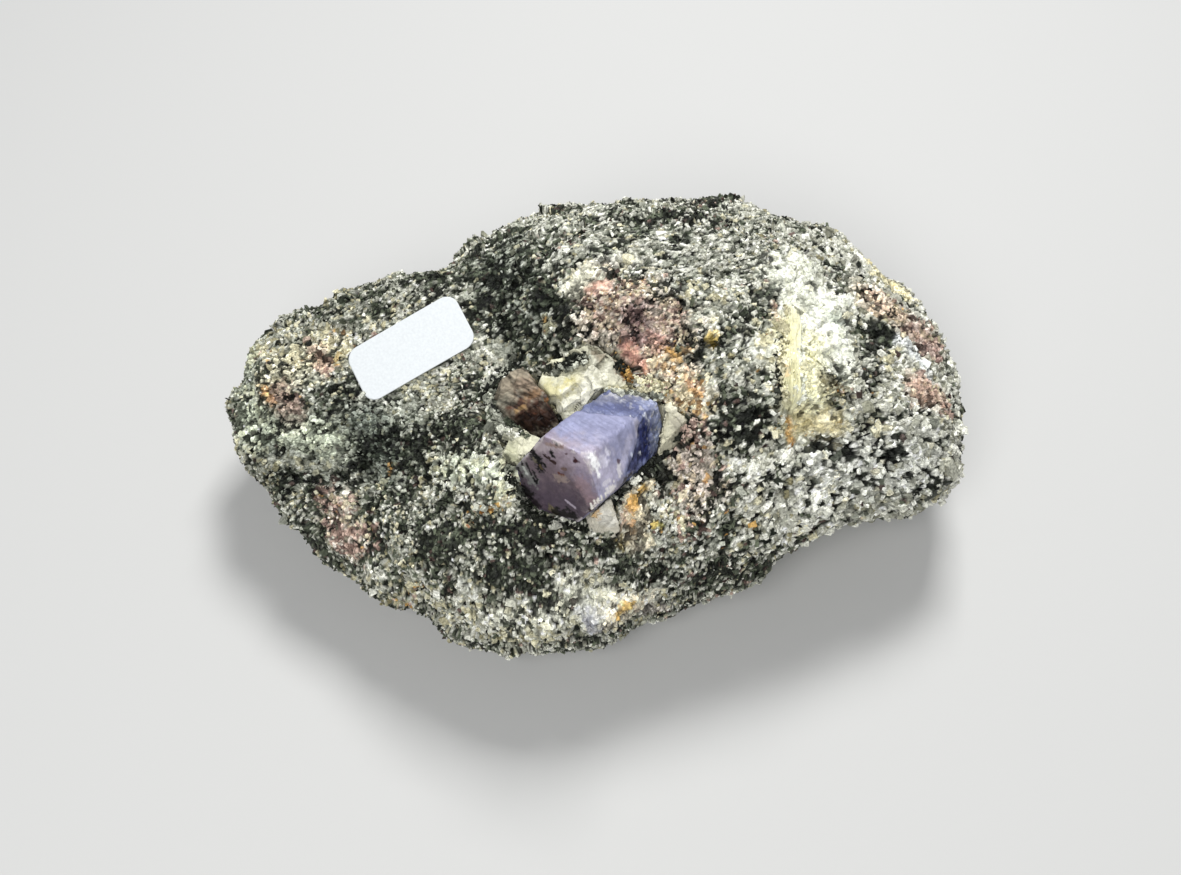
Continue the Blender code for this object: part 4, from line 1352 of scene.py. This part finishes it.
def rounded(grid, passes):
    """The same blur for a net that closes on itself sideways."""
    for _ in range(passes):
        mean = (np.roll(grid, 1, axis=1) + np.roll(grid, -1, axis=1))[1:-1] / 4 + (grid[:-2] + grid[2:]) / 4
        grid = np.concatenate([grid[:1], 0.4 * grid[1:-1] + 0.6 * mean, grid[-1:]])
    return grid


def crystal_net(name, axis, half_length, rows, columns, passes, worn_from=None):
    """Points on a solid's faces, the outward way at each, and how close each is to an edge, from 0 to 1."""
    middle, _, _ = own_frame(name)
    starts, ways = crystal_lines(middle, axis, half_length, rows, columns)
    sharp = first_met(surface_of(name), starts, ways).reshape(rows, columns, 3)
    soft = rounded(sharp, passes)
    if worn_from is not None:
        share = falloff(2 - (soft - middle) @ unit(axis) / worn_from, 1.0)[..., None]
        soft = soft * (1 - share) + rounded(soft, WORN_PASSES) * share
    moved = np.linalg.norm(rounded(sharp, EDGE_LOOKED) - sharp, axis=2)
    edge = np.clip(moved / EDGE_MOVED, 0, 1)
    wide = np.concatenate([soft[:, -1:], soft, soft[:, :1]], axis=1)
    up = grid_normals(wide, middle)[:, 1:-1]
    up[0], up[-1] = ways[0], ways[-1]
    return soft.reshape(-1, 3), up.reshape(-1, 3), edge.ravel()


print("a net of 5 rows and 8 columns has", len(net_triangles(5, 8)[0]), "triangles")

# %% [markdown]
# ## The violet crystal
#
# The crystal grew in two stages. Its near part is lilac, its far part is navy blue and a little thinner,
# and the step between them runs slanting across the faces: a line through four points, each so far across
# the crystal and so far along it, says where. Fine growth lines cross the flanks, and the near end is a
# broken mauve face with black specks and chipped edges. Pale dust sticks to the far end. Marks with soft
# edges come first, and small ragged ones come last, so that nothing dims them. A white highlight on the
# ridge and a pale one on the far flank are painted into the colour, and the darkest navy of that flank is
# partly painted shade.

# %% The violet crystal
CRYSTAL_AXIS = np.array([-0.62, -0.75, 0.23])
CRYSTAL_RIDGE = np.array([0.49, -0.14, 0.86])
CRYSTAL_END = np.array([-4.6, -24.9, 38.0]) * MM
CRYSTAL_ROWS, CRYSTAL_COLUMNS = 310, 270
HALF_CORE = 4.2 * MM
EDGE_PASSES = 5
WORN_FROM = -4.5 * MM
STEP_ACROSS = (-5.2, 0.9, 2.9, 5.2)
STEP_ALONG = (7.0, 12.4, 10.6, 6.9)
STEP_DROP = 0.16 * MM
GROWTH_LINES = 0.085 * MM
GROWTH_SIZE = 0.55 * MM
CHIPS = 0.40 * MM
FAR_ROUGH = 0.22 * MM
LILAC = (144, 145, 173)
NAVY = (104, 110, 142)
MAUVE = (94, 81, 87)
WORN = (206, 198, 196)
DUST = (196, 194, 188)

# %% Marks on the violet crystal
# name, pixel at one end, pixel at the other, reach in mm, colour, strength
CRYSTAL_MARKS = [
    ("pale stripe at the step", (636, 422), (638, 434), 0.6, (184, 180, 190), 0.6),
    ("pale stripe down the flank", (630, 438), (621, 468), 0.6, (176, 172, 190), 0.5),
    ("grey lilac top", (590, 420), (624, 422), 1.6, (144, 147, 176), 0.5),
    ("dim top left", (556, 430), (584, 414), 1.2, (136, 140, 170), 0.5),
    ("rosy end of the top", (548, 440), (562, 444), 1.2, (158, 146, 160), 0.5),
    ("lilac right face", (592, 456), (608, 478), 2.6, (178, 172, 190), 0.75),
    # painted highlight: a white streak and paler spots along the ridge and the lilac face beside it
    ("painted highlight on the ridge", (592, 457), (596, 467), 0.75, (254, 254, 255), 1.0),
    ("white beside the painted highlight", (589, 453), (591, 455), 0.40, (244, 243, 250), 0.9),
    ("point of the painted highlight", (596, 467), (599, 476), 0.34, (246, 246, 252), 0.95),
    ("second painted highlight", (601, 459), (606, 463), 0.6, (216, 214, 228), 0.6),
    ("third painted highlight", (606, 450), (609, 453), 0.35, (224, 222, 232), 0.5),
    ("grey rim of the far part", (600, 398), (640, 394), 1.1, (128, 130, 148), 0.75),
    ("dust on the rim", (606, 394), (638, 392), 0.45, (190, 190, 196), 0.6),
    ("second dust", (616, 396), (622, 400), 0.4, (196, 198, 206), 0.6),
    ("dusty right rim", (648, 397), (658, 404), 0.6, (176, 180, 194), 0.6),
    ("far top", (600, 406), (636, 408), 1.0, (92, 98, 134), 0.6),
    # painted highlight: a pale blue-white spot on the navy flank
    ("blue-white painted highlight", (648, 402), (660, 412), 1.3, (146, 152, 178), 0.7),
    ("white streak of the shoulder", (646, 412), (650, 426), 0.42, (206, 210, 220), 0.85),
    ("white rim of the far end", (660, 398), (662, 406), 0.45, (214, 216, 220), 0.85),
    # partly the far part's own navy, partly painted shade: the shadowed flank painted much darker
    ("deep navy flank with painted shade", (645, 430), (647, 452), 1.5, (30, 36, 78), 0.95),
    ("navy foot", (638, 456), (633, 466), 1.3, (44, 46, 80), 0.8),
    ("grey flank", (657, 418), (655, 450), 1.0, (118, 124, 146), 0.75),
    ("pale flank streak", (660, 424), (658, 446), 0.5, (150, 160, 184), 0.6),
    ("white dot", (641, 453), (643, 455), 0.3, (222, 226, 232), 0.9),
    ("second white dot", (631, 415), (632, 416), 0.25, (222, 224, 230), 0.8),
    ("third white dot", (631, 454), (632, 456), 0.25, (190, 196, 212), 0.8),
    ("grey top of the end", (550, 448), (580, 466), 2.2, (142, 128, 138), 0.6),
    ("pale rim of the end", (536, 448), (562, 446), 0.7, (164, 152, 156), 0.6),
    ("dark lower end", (538, 496), (570, 504), 2.8, (64, 54, 66), 0.8),
    ("lilac right of the end", (582, 474), (592, 492), 1.0, (122, 112, 132), 0.6),
    ("dark left of the end", (520, 472), (532, 500), 1.3, (66, 58, 64), 0.7),
    ("rosy lower right", (582, 484), (590, 498), 1.1, (142, 118, 122), 0.65),
]
# the same for what is small and ragged
CRYSTAL_SPECKS = [
    ("grey-green left corner", (519, 464), (532, 480), 0.9, (118, 122, 116), 0.6),
    ("big blotch", (534, 454), (541, 467), 0.75, (5, 4, 4), 1.0),
    ("top of the blotch", (531, 450), (536, 455), 0.45, (7, 5, 4), 0.95),
    ("glint in the blotch", (534, 458), (535, 462), 0.22, (90, 84, 66), 0.8),
    ("second glint", (540, 466), (542, 469), 0.20, (84, 70, 44), 0.7),
    ("stroke one", (518, 468), (522, 477), 0.20, (6, 6, 6), 1.0),
    ("stroke two", (521, 462), (525, 472), 0.20, (6, 6, 6), 1.0),
    ("stroke three", (526, 464), (531, 474), 0.22, (7, 7, 7), 1.0),
    ("stroke four", (532, 470), (537, 479), 0.20, (8, 8, 8), 0.95),
    ("stroke five", (534, 479), (536, 483), 0.26, (6, 6, 6), 1.0),
    ("white stroke", (523, 467), (527, 476), 0.16, (186, 190, 182), 0.8),
    ("dark corner", (523, 488), (530, 495), 0.60, (8, 7, 6), 0.95),
    ("dark dot", (551, 452), (553, 455), 0.32, (5, 4, 4), 1.0),
    ("dark red dots", (545, 456), (549, 458), 0.26, (34, 14, 16), 1.0),
    ("brown dots", (550, 460), (555, 463), 0.24, (40, 20, 18), 1.0),
    ("dark red dot", (575, 460), (577, 461), 0.28, (52, 18, 24), 1.0),
    ("tiny red dot", (566, 454), (567, 454), 0.18, (60, 20, 28), 1.0),
    ("rusty dot", (559, 474), (563, 475), 0.24, (74, 26, 16), 1.0),
    ("tan halo", (556, 478), (566, 479), 0.55, (142, 126, 116), 0.6),
    ("brown pits", (562, 468), (565, 469), 0.24, (92, 72, 64), 0.8),
    ("pits along the rim", (546, 444), (562, 447), 0.30, (120, 96, 84), 0.7),
    ("dots at the rim", (553, 442), (556, 444), 0.20, (24, 18, 18), 1.0),
    ("yellow at the foot", (552, 508), (556, 514), 0.5, (118, 110, 78), 0.7),
    ("black foot", (558, 512), (572, 517), 0.9, (14, 12, 10), 0.95),
    ("black foot, left", (528, 496), (538, 505), 0.5, (16, 13, 12), 0.8),
    ("pale scratch", (566, 500), (575, 508), 0.16, (170, 160, 172), 0.7),
    ("brown under the teeth", (590, 511), (606, 499), 0.35, (44, 32, 28), 0.9),
    ("white blotch at the foot", (609, 491), (613, 487), 0.55, (222, 218, 214), 0.85),
    ("second white blotch", (605, 484), (610, 480), 0.35, (206, 202, 210), 0.7),
    ("white lens", (619, 465), (620, 475), 0.36, (214, 210, 214), 0.85),
    ("red-brown over it", (619, 461), (619, 463), 0.24, (70, 42, 46), 0.8),
    # painted highlight: the brightest core and the tail of the white streak on the ridge
    ("white heart of the painted highlight", (592, 456), (594, 463), 0.42, (255, 255, 255), 1.0),
    ("tail of the painted highlight", (594, 463), (599, 475), 0.22, (250, 250, 254), 1.0),
    ("grey crumbly foot", (620, 484), (634, 474), 0.6, (120, 116, 124), 0.7),
    ("dark crumbly foot", (624, 481), (632, 475), 0.35, (40, 36, 42), 0.8),
]
# the upper end of each white tooth along the lower right edge of the near end
TEETH = [(591, 504), (594, 501), (598, 499), (601, 496), (605, 493)]
CRYSTAL_SPECKS += [(f"tooth {x}", (x, y), (x + 1.3, y + 4.5), 0.18, (232, 228, 218), 0.95) for x, y in TEETH]
print(len(CRYSTAL_MARKS), "marks and", len(CRYSTAL_SPECKS), "specks")

# %% The violet crystal's shape
STEP_WANDER, STEP_WANDER_SIZE = 0.3 * MM, 1.2 * MM
STEP_SHARPNESS = 0.25 * MM
STEP_BLEND = 1.1 * MM
FLANK_FADE = 1.5 * MM
LINE_STRETCH = 0.86
CHIP_SIZE = 1.1 * MM
FRACTURE, FRACTURE_SIZE = 0.16 * MM, 2.4 * MM
UNDULATION, UNDULATION_SIZE = 0.05 * MM, 1.2 * MM
FAR_FACE_SIZE = 0.9 * MM
HIGHEST = 0.1 * MM
END_FACES_FROM, END_BLEND = 0.6, 0.15

points, up, edge = crystal_net("ruby_crystal", CRYSTAL_AXIS, HALF_CORE, CRYSTAL_ROWS, CRYSTAL_COLUMNS,
                               EDGE_PASSES, worn_from=WORN_FROM)
axis = unit(CRYSTAL_AXIS)
ridge = unit(CRYSTAL_RIDGE - (CRYSTAL_RIDGE @ axis) * axis)
along = (CRYSTAL_END - points) @ axis
across = (points - CRYSTAL_END) @ np.cross(ridge, axis)
past_step = along - np.interp(across, np.array(STEP_ACROSS) * MM, np.array(STEP_ALONG) * MM)
past_step += STEP_WANDER * smooth_noise(points, STEP_WANDER_SIZE, 41)
beyond_step = np.clip(past_step / STEP_SHARPNESS, 0, 1)
on_end = np.clip((up @ axis - END_FACES_FROM) / END_BLEND, 0, 1)
stretched = (points - CRYSTAL_END) - LINE_STRETCH * ((points - CRYSTAL_END) - np.outer(-along, axis))
lines = smooth_noise(stretched, GROWTH_SIZE, 43) + 0.6 * smooth_noise(stretched, GROWTH_SIZE / 2.1, 44)
on_flank = np.clip(across / FLANK_FADE, 0, 1)
blended = np.clip((past_step + 0.7 * MM * lines) / STEP_BLEND + 0.5, 0, 1)
navy = beyond_step + (blended - beyond_step) * on_flank
chips = broken_noise(points, CHIP_SIZE, 45, tilt=1.4)[0]
fracture = broken_noise(points, FRACTURE_SIZE, 47, tilt=0.9)[0]
far_faces, _, far_number = broken_noise(points, FAR_FACE_SIZE, 49, tilt=1.2)
height = -STEP_DROP * beyond_step * (1 - on_end)
height += GROWTH_LINES * lines * (1 - on_end) * (0.45 + 0.55 * beyond_step)
height += FRACTURE * fracture * on_end + UNDULATION * smooth_noise(points, UNDULATION_SIZE, 46)
height += FAR_ROUGH * (far_faces - 0.2) * beyond_step * (1 - on_end)
height -= CHIPS * np.clip(chips + 0.15, 0, 1) * edge * (0.4 + 0.6 * on_end)
points = points + up * np.minimum(height, HIGHEST)[:, None]
print("crystal relief from", (height.min() / MM).round(2), "mm")

# %% The violet crystal's colours
STEP_REACH = 2 * MM
TONE_PATCH, TONE_GRAIN = 2.5 * MM, 0.5 * MM
DUST_SIZE = 0.45 * MM
DUST_FROM = 14 * MM
END_REACH, END_HEIGHT = 1.6 * MM, 3 * MM
BLACK_BELOW = 0.012

colours = linear(LILAC) + (linear(NAVY) - linear(LILAC)) * navy[:, None]
colours = colours + (linear(MAUVE) - colours) * on_end[:, None]
violet = surface_of("ruby_crystal")
colours = painted(points, colours, CRYSTAL_MARKS, violet, edge=0.45)
near_step = falloff(np.abs(past_step) / STEP_REACH, 0.8) * on_flank
colours *= (1 + (0.12 + 0.20 * near_step) * lines * (1 - on_end))[:, None]
tones = 1 + 0.24 * rough_noise(points, TONE_PATCH, 48) + 0.10 * rough_noise(points, TONE_GRAIN, 50)
colours *= tones[:, None]
dust = np.clip(rough_noise(points, DUST_SIZE, 53) * 2.2 - 0.35, 0, 0.7)
dust = dust * falloff(2 - along / DUST_FROM, 0.16) * (1 - on_end)
colours += (linear(DUST) - colours) * dust[:, None]
colours *= (1 + 0.30 * (far_number - 0.5) * beyond_step * (1 - on_end))[:, None]
colours = painted(points, colours, CRYSTAL_SPECKS, violet, edge=0.75)
near_ridge = np.clip(1.2 + (points - CRYSTAL_END) @ ridge / END_HEIGHT, 0, 1)
near_end = falloff(along / END_REACH, 0.4) * near_ridge
worn = np.clip(edge * (chips > 0.02) * 1.2 * near_end, 0, 1)[:, None] * 0.6
dark = np.clip(colours.mean(axis=1) / BLACK_BELOW, 0, 1)
worn *= dark[:, None]
colours = np.clip(colours * (1 - worn) + linear(WORN) * worn, 0.002, 0.95)
corundum = stone_material("violet corundum", 0.16, 2200.0, 0.04 * MM, coat=0.10)
crystal_faces, crystal_map = net_triangles(CRYSTAL_ROWS, CRYSTAL_COLUMNS)
crystal = new_piece("violet_crystal", points, crystal_faces, corundum, "corundum", crystal_map,
                    paint=colours, dull=0.9 - 0.48 * dark)
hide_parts("ruby_crystal")
print("crystal:", len(crystal_faces), "triangles")

# %% [markdown]
# ## The crystals round it
#
# Feldspar splits along flat planes, so its skin gets broken noise: a coarse one for the big steps and a
# fine one for the chips. The brown crystal is smoother, with fine lines on its upper face. Its lower face
# is dark: partly its own deep brown, partly painted shade.

# %% Feldspar and the brown crystal
SMALL_CRYSTALS = {
    # node: new name, slot, rows, columns, coarse step, fine step, colour, marks
    "feldspar_back": ("jagged_feldspar", "feldspar", 190, 260, 1.30, 0.22, (204, 202, 176), [
        ("yellow streak", (566, 388), (578, 378), 1.0, (206, 194, 118), 0.6),
        ("grey top", (598, 352), (614, 372), 2.2, (178, 176, 160), 0.7),
        ("grey chip", (590, 366), (602, 384), 1.0, (156, 154, 138), 0.6),
        ("brown chip", (596, 352), (602, 358), 0.8, (140, 124, 104), 0.6),
        ("white face", (580, 376), (592, 366), 1.0, (228, 226, 208), 0.6),
        # partly the feldspar's own white, partly painted light on a face that the lamps leave dim
        ("white lower face with painted light", (566, 400), (586, 393), 1.7, (234, 232, 216), 0.8),
        ("white crest", (602, 376), (612, 362), 0.6, (236, 234, 216), 0.6),
        # painted shade in the gap of the pocket behind the crystal
        ("gap in painted shade", (570, 366), (582, 360), 0.7, (50, 46, 36), 0.8),
        ("rust edge", (622, 364), (626, 374), 1.0, (120, 78, 56), 0.8),
        ("yellow foot", (548, 388), (556, 396), 1.0, (192, 184, 130), 0.6)]),
    "feldspar_left": ("left_feldspar", "feldspar", 110, 150, 0.55, 0.12, (212, 210, 184), [
        ("green shade", (510, 448), (518, 462), 1.0, (160, 162, 128), 0.45),
        ("dark rim", (506, 456), (514, 470), 0.6, (54, 56, 46), 0.8)]),
    "feldspar_right": ("right_feldspar", "feldspar", 110, 150, 0.55, 0.12, (204, 200, 176), [
        ("grey side", (678, 420), (684, 436), 1.0, (156, 150, 134), 0.6),
        ("white top", (672, 406), (680, 412), 0.9, (226, 222, 204), 0.6)]),
    "feldspar_front": ("front_feldspar", "feldspar", 110, 150, 0.60, 0.14, (216, 211, 194), [
        ("white side", (604, 516), (610, 524), 1.0, (232, 230, 220), 0.6),
        ("ochre side", (616, 512), (620, 526), 0.9, (200, 154, 76), 0.7)]),
    "brown_crystal": ("brown_crystal_skin", "brown_crystal", 150, 200, 0.45, 0.14, (132, 123, 107), [
        ("grey corner", (500, 376), (506, 400), 1.0, (142, 136, 120), 0.6),
        ("grey far left", (488, 410), (493, 424), 1.4, (92, 94, 84), 0.9),
        ("grey lower corner", (500, 404), (510, 414), 1.4, (104, 104, 92), 0.7),
        ("rosy side", (522, 382), (536, 394), 1.2, (138, 114, 96), 0.4),
        # partly the crystal's own dark brown, partly painted shade on the face that looks down
        ("dark facet with painted shade", (524, 412), (544, 414), 2.2, (70, 49, 39), 1.0),
        ("dark lower facet with painted shade", (526, 424), (544, 426), 1.6, (40, 27, 21), 1.0),
        ("amber top of the facet", (527, 397), (539, 392), 0.65, (122, 94, 66), 0.5),
        ("amber left rim", (516, 411), (524, 407), 0.32, (130, 106, 72), 0.7),
        ("amber right rim", (547, 401), (554, 407), 0.36, (124, 84, 48), 0.8),
        ("amber heart", (533, 414), (537, 417), 0.35, (92, 56, 38), 0.6),
        ("white rim", (540, 386), (549, 396), 0.22, (226, 214, 206), 0.8),
        ("dark edge", (516, 366), (539, 386), 0.35, (26, 20, 18), 0.9)]),
}

# %% The skins of feldspar and of the brown crystal
PLAIN_AXIS = (0.2, -0.3, 0.93)
STEP_SIZE, FLAKE_SIZE = 2.3 * MM, 0.65 * MM
MOST_RAISED = 0.25 * MM
LINE_HEIGHT = 0.05 * MM
# crystal lines: three directions, each divided by the size of the noise along it
LINED = np.array([np.array([0.75, -0.60, 0.25]) / (1.8 * MM), np.array([0.55, 0.80, 0.2]) / (0.30 * MM),
                  np.array([0.0, 0.2, 0.97]) / (1.0 * MM)])

for node, (name, slot, rows, columns, coarse, fine, colour, marks) in SMALL_CRYSTALS.items():
    points, up, edge = crystal_net(node, PLAIN_AXIS, 0, rows, columns, 1)
    steps, border, number = broken_noise(points, STEP_SIZE, 61, tilt=1.3)
    flakes, fine_border, fine_number = broken_noise(points, FLAKE_SIZE, 63, tilt=1.5)
    height = np.minimum(coarse * MM * (steps - 0.2) + fine * MM * (flakes - 0.1), MOST_RAISED)
    points = points + up * height[:, None]
    colours = np.tile(linear(colour), (len(points), 1))
    colours = painted(points, colours, marks, surface_of(node))
    lines = smooth_noise(points @ LINED.T, 1.0, 65) + 0.6 * smooth_noise(points @ LINED.T, 0.45, 66)
    lines *= name == "brown_crystal_skin"
    points = points + up * (LINE_HEIGHT * lines)[:, None]
    colours *= np.maximum(0.76 + 0.26 * number + 0.14 * fine_number + 0.95 * lines, 0.25)[:, None]
    cracks = 0.30 * np.clip(1 - border / 0.06, 0, 1) + 0.15 * np.clip(1 - fine_border / 0.08, 0, 1)
    colours *= (1 - cracks)[:, None]
    faces, flat_map = net_triangles(rows, columns)
    stuff = stone_material(name, 0.25, 1900.0, 0.06 * MM, dullness=0.45)
    piece = new_piece(name, points, faces, stuff, slot, flat_map, paint=np.clip(colours, 0.003, 0.95))
    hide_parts(node)
    print(name, len(faces), "triangles")

# %% [markdown]
# ## The ribbed feldspar and the paper label
#
# One long ribbed piece of yellow feldspar stands in the pale patch. Its two long sides go down into the
# rock, and the last column of its net is joined to the first, so that it is closed underneath. The label is a
# thin sheet of bare paper with round corners that follows the stone a little.

# %% Ribbed feldspar
RIB_TOP, RIB_FOOT = (792, 304), (792, 404)
RIB_WIDTH = 2.3 * MM
RIB_HEIGHT = 0.45 * MM
RIB_ROOT = 1.2 * MM
RIB_RELIEF, RIB_SPLITS = 0.22 * MM, 0.3 * MM
RIB_ENDS_SINK = 0.6 * MM
SPINE_PASSES = 30
RIB_ROWS, RIB_COLUMNS = 220, 60
RIB_LOOKS = np.array([0.1, -0.25, 1.0])
RIB_COLOUR = (206, 203, 164)

part = np.linspace(0, 1, RIB_ROWS)
row_pixels = np.outer(1 - part, RIB_TOP) + np.outer(part, RIB_FOOT)
spine = seen_at(rock, *row_pixels)
for _ in range(SPINE_PASSES):
    spine[1:-1] = (spine[:-2] + spine[2:]) / 2
along = unit(spine[-1] - spine[0])
upward = unit(RIB_LOOKS - (RIB_LOOKS @ along) * along)
across = np.cross(along, upward)
part, over = (grid.ravel() for grid in np.meshgrid(part, np.linspace(1, -1, RIB_COLUMNS), indexing="ij"))
uneven = smooth_noise(np.stack([part * 14, np.sign(over), 0 * part], axis=1), 1.6, 51)
width = RIB_WIDTH / 2 * (1 + 0.5 * uneven) * (1 - 0.8 * (2 * part - 1) ** 12)
base = np.repeat(spine, RIB_COLUMNS, axis=0) + (over * width)[:, None] * across
ribs = smooth_noise(np.stack([over * 9, part * 5, part * 0], axis=1), 1.0, 52)
splits = broken_noise(np.stack([over * 5, part * 9, part * 0], axis=1), 1.0, 53)[0]
height = RIB_HEIGHT * (1 - np.abs(over) ** 3) + RIB_RELIEF * ribs + RIB_SPLITS * splits
height -= (RIB_ROOT + RIB_HEIGHT) * (np.abs(over) > 0.96) + RIB_ENDS_SINK * (2 * part - 1) ** 8
colours = linear(RIB_COLOUR) * (0.9 + 0.3 * ribs + 0.3 * splits)[:, None]
colours = painted(base, colours, VEILS, rock)

# %% The ribbed feldspar's mesh
faces, flat_map = net_triangles(RIB_ROWS, RIB_COLUMNS)
new_piece("ribbed_feldspar", base + height[:, None] * upward, faces,
          stone_material("ribbed feldspar", 0.25, 2500.0, 0.05 * MM, dullness=0.45), "gneiss", flat_map,
          paint=np.clip(colours, 0.01, 0.95))
print("ribbed feldspar", round(float(np.linalg.norm(spine[-1] - spine[0])) / MM, 1), "mm long")

# %% Label
LABEL_ROUND = 2.0 * MM
LABEL_THICK = 0.16 * MM
LABEL_BEND = 0.10 * MM
RING_SHARES = np.array([0, 0.12, 0.24, 0.36, 0.48, 0.60, 0.70, 0.80, 0.88, 0.94, 0.98, 1.0])
LABEL_COLUMNS = 300
PAPER_SHADES = ((198, 202, 204), (222, 226, 227))
PAPER_ROUGHNESS = 0.6
FIBRES_PER_METRE = 2600.0
FIBRE_HEIGHT = 0.02 * MM


def rounded_outline(half_length, half_width, radius, count):
    """Points on a rectangle with round corners. Each starts on the sharp rectangle, where a line from the
    middle meets it, and is drawn in to one radius from the nearest place of a rectangle that is a radius
    smaller."""
    angle = np.linspace(0, 2 * math.pi, count, endpoint=False)
    halves = np.array([half_length, half_width])
    turn = np.stack([np.cos(angle), np.sin(angle)], axis=1) * halves
    sharp = turn / np.max(np.abs(turn) / halves, axis=1, keepdims=True)
    inner = np.clip(sharp, radius - halves, halves - radius)
    return inner + radius * unit(sharp - inner)


outline = rounded_outline(label_halves[0], label_halves[1], LABEL_ROUND, LABEL_COLUMNS)
share = np.concatenate([RING_SHARES, RING_SHARES[::-1]])
level = np.concatenate([np.full(len(RING_SHARES), 1.0), np.full(len(RING_SHARES), -1.0)]) * LABEL_THICK / 2
flat = share[:, None, None] * outline
bend = LABEL_BEND * ((flat[..., 0] / label_halves[0]) ** 2 - 0.5 * (flat[..., 1] / label_halves[1]) ** 2)
points = (label_middle + flat[..., :1] * label_ways[0] + flat[..., 1:] * label_ways[1]
          + (level[:, None] - bend)[..., None] * label_ways[2]).reshape(-1, 3)

# %% The label's paper
faces, flat_map = net_triangles(len(share), LABEL_COLUMNS)
paper, tree, shader = new_material("paper")
place = tree.nodes.new("ShaderNodeTexCoord")
fibres = put(tree.nodes, "ShaderNodeTexNoise", Scale=FIBRES_PER_METRE, Detail=4.0)
tree.links.new(place.outputs["Object"], fibres.inputs["Vector"])
shades = [(*linear(shade), 1) for shade in PAPER_SHADES]
tree.links.new(mixed(tree, fibres.outputs[0], *shades), shader.inputs["Base Color"])
shader.inputs["Roughness"].default_value = PAPER_ROUGHNESS
bumped(tree, shader, fibres.outputs[0], FIBRE_HEIGHT)
sheet = new_piece("paper_label", points, faces, paper, "paper", flat_map)
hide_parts("label")
print("label", (2 * label_halves / MM).round(1), "mm")

# %% [markdown]
# ## Check and finish
#
# The finished stone must fill the same box as its solids: a scene that grew or shrank would no longer fit
# them.

# %% Finish
low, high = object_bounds()
for name, before, after in (("low", cad_box[0], low), ("high", cad_box[1], high)):
    print(name, "end moved by", [round((b - a) / MM, 2) for a, b in zip(before, after)], "mm")
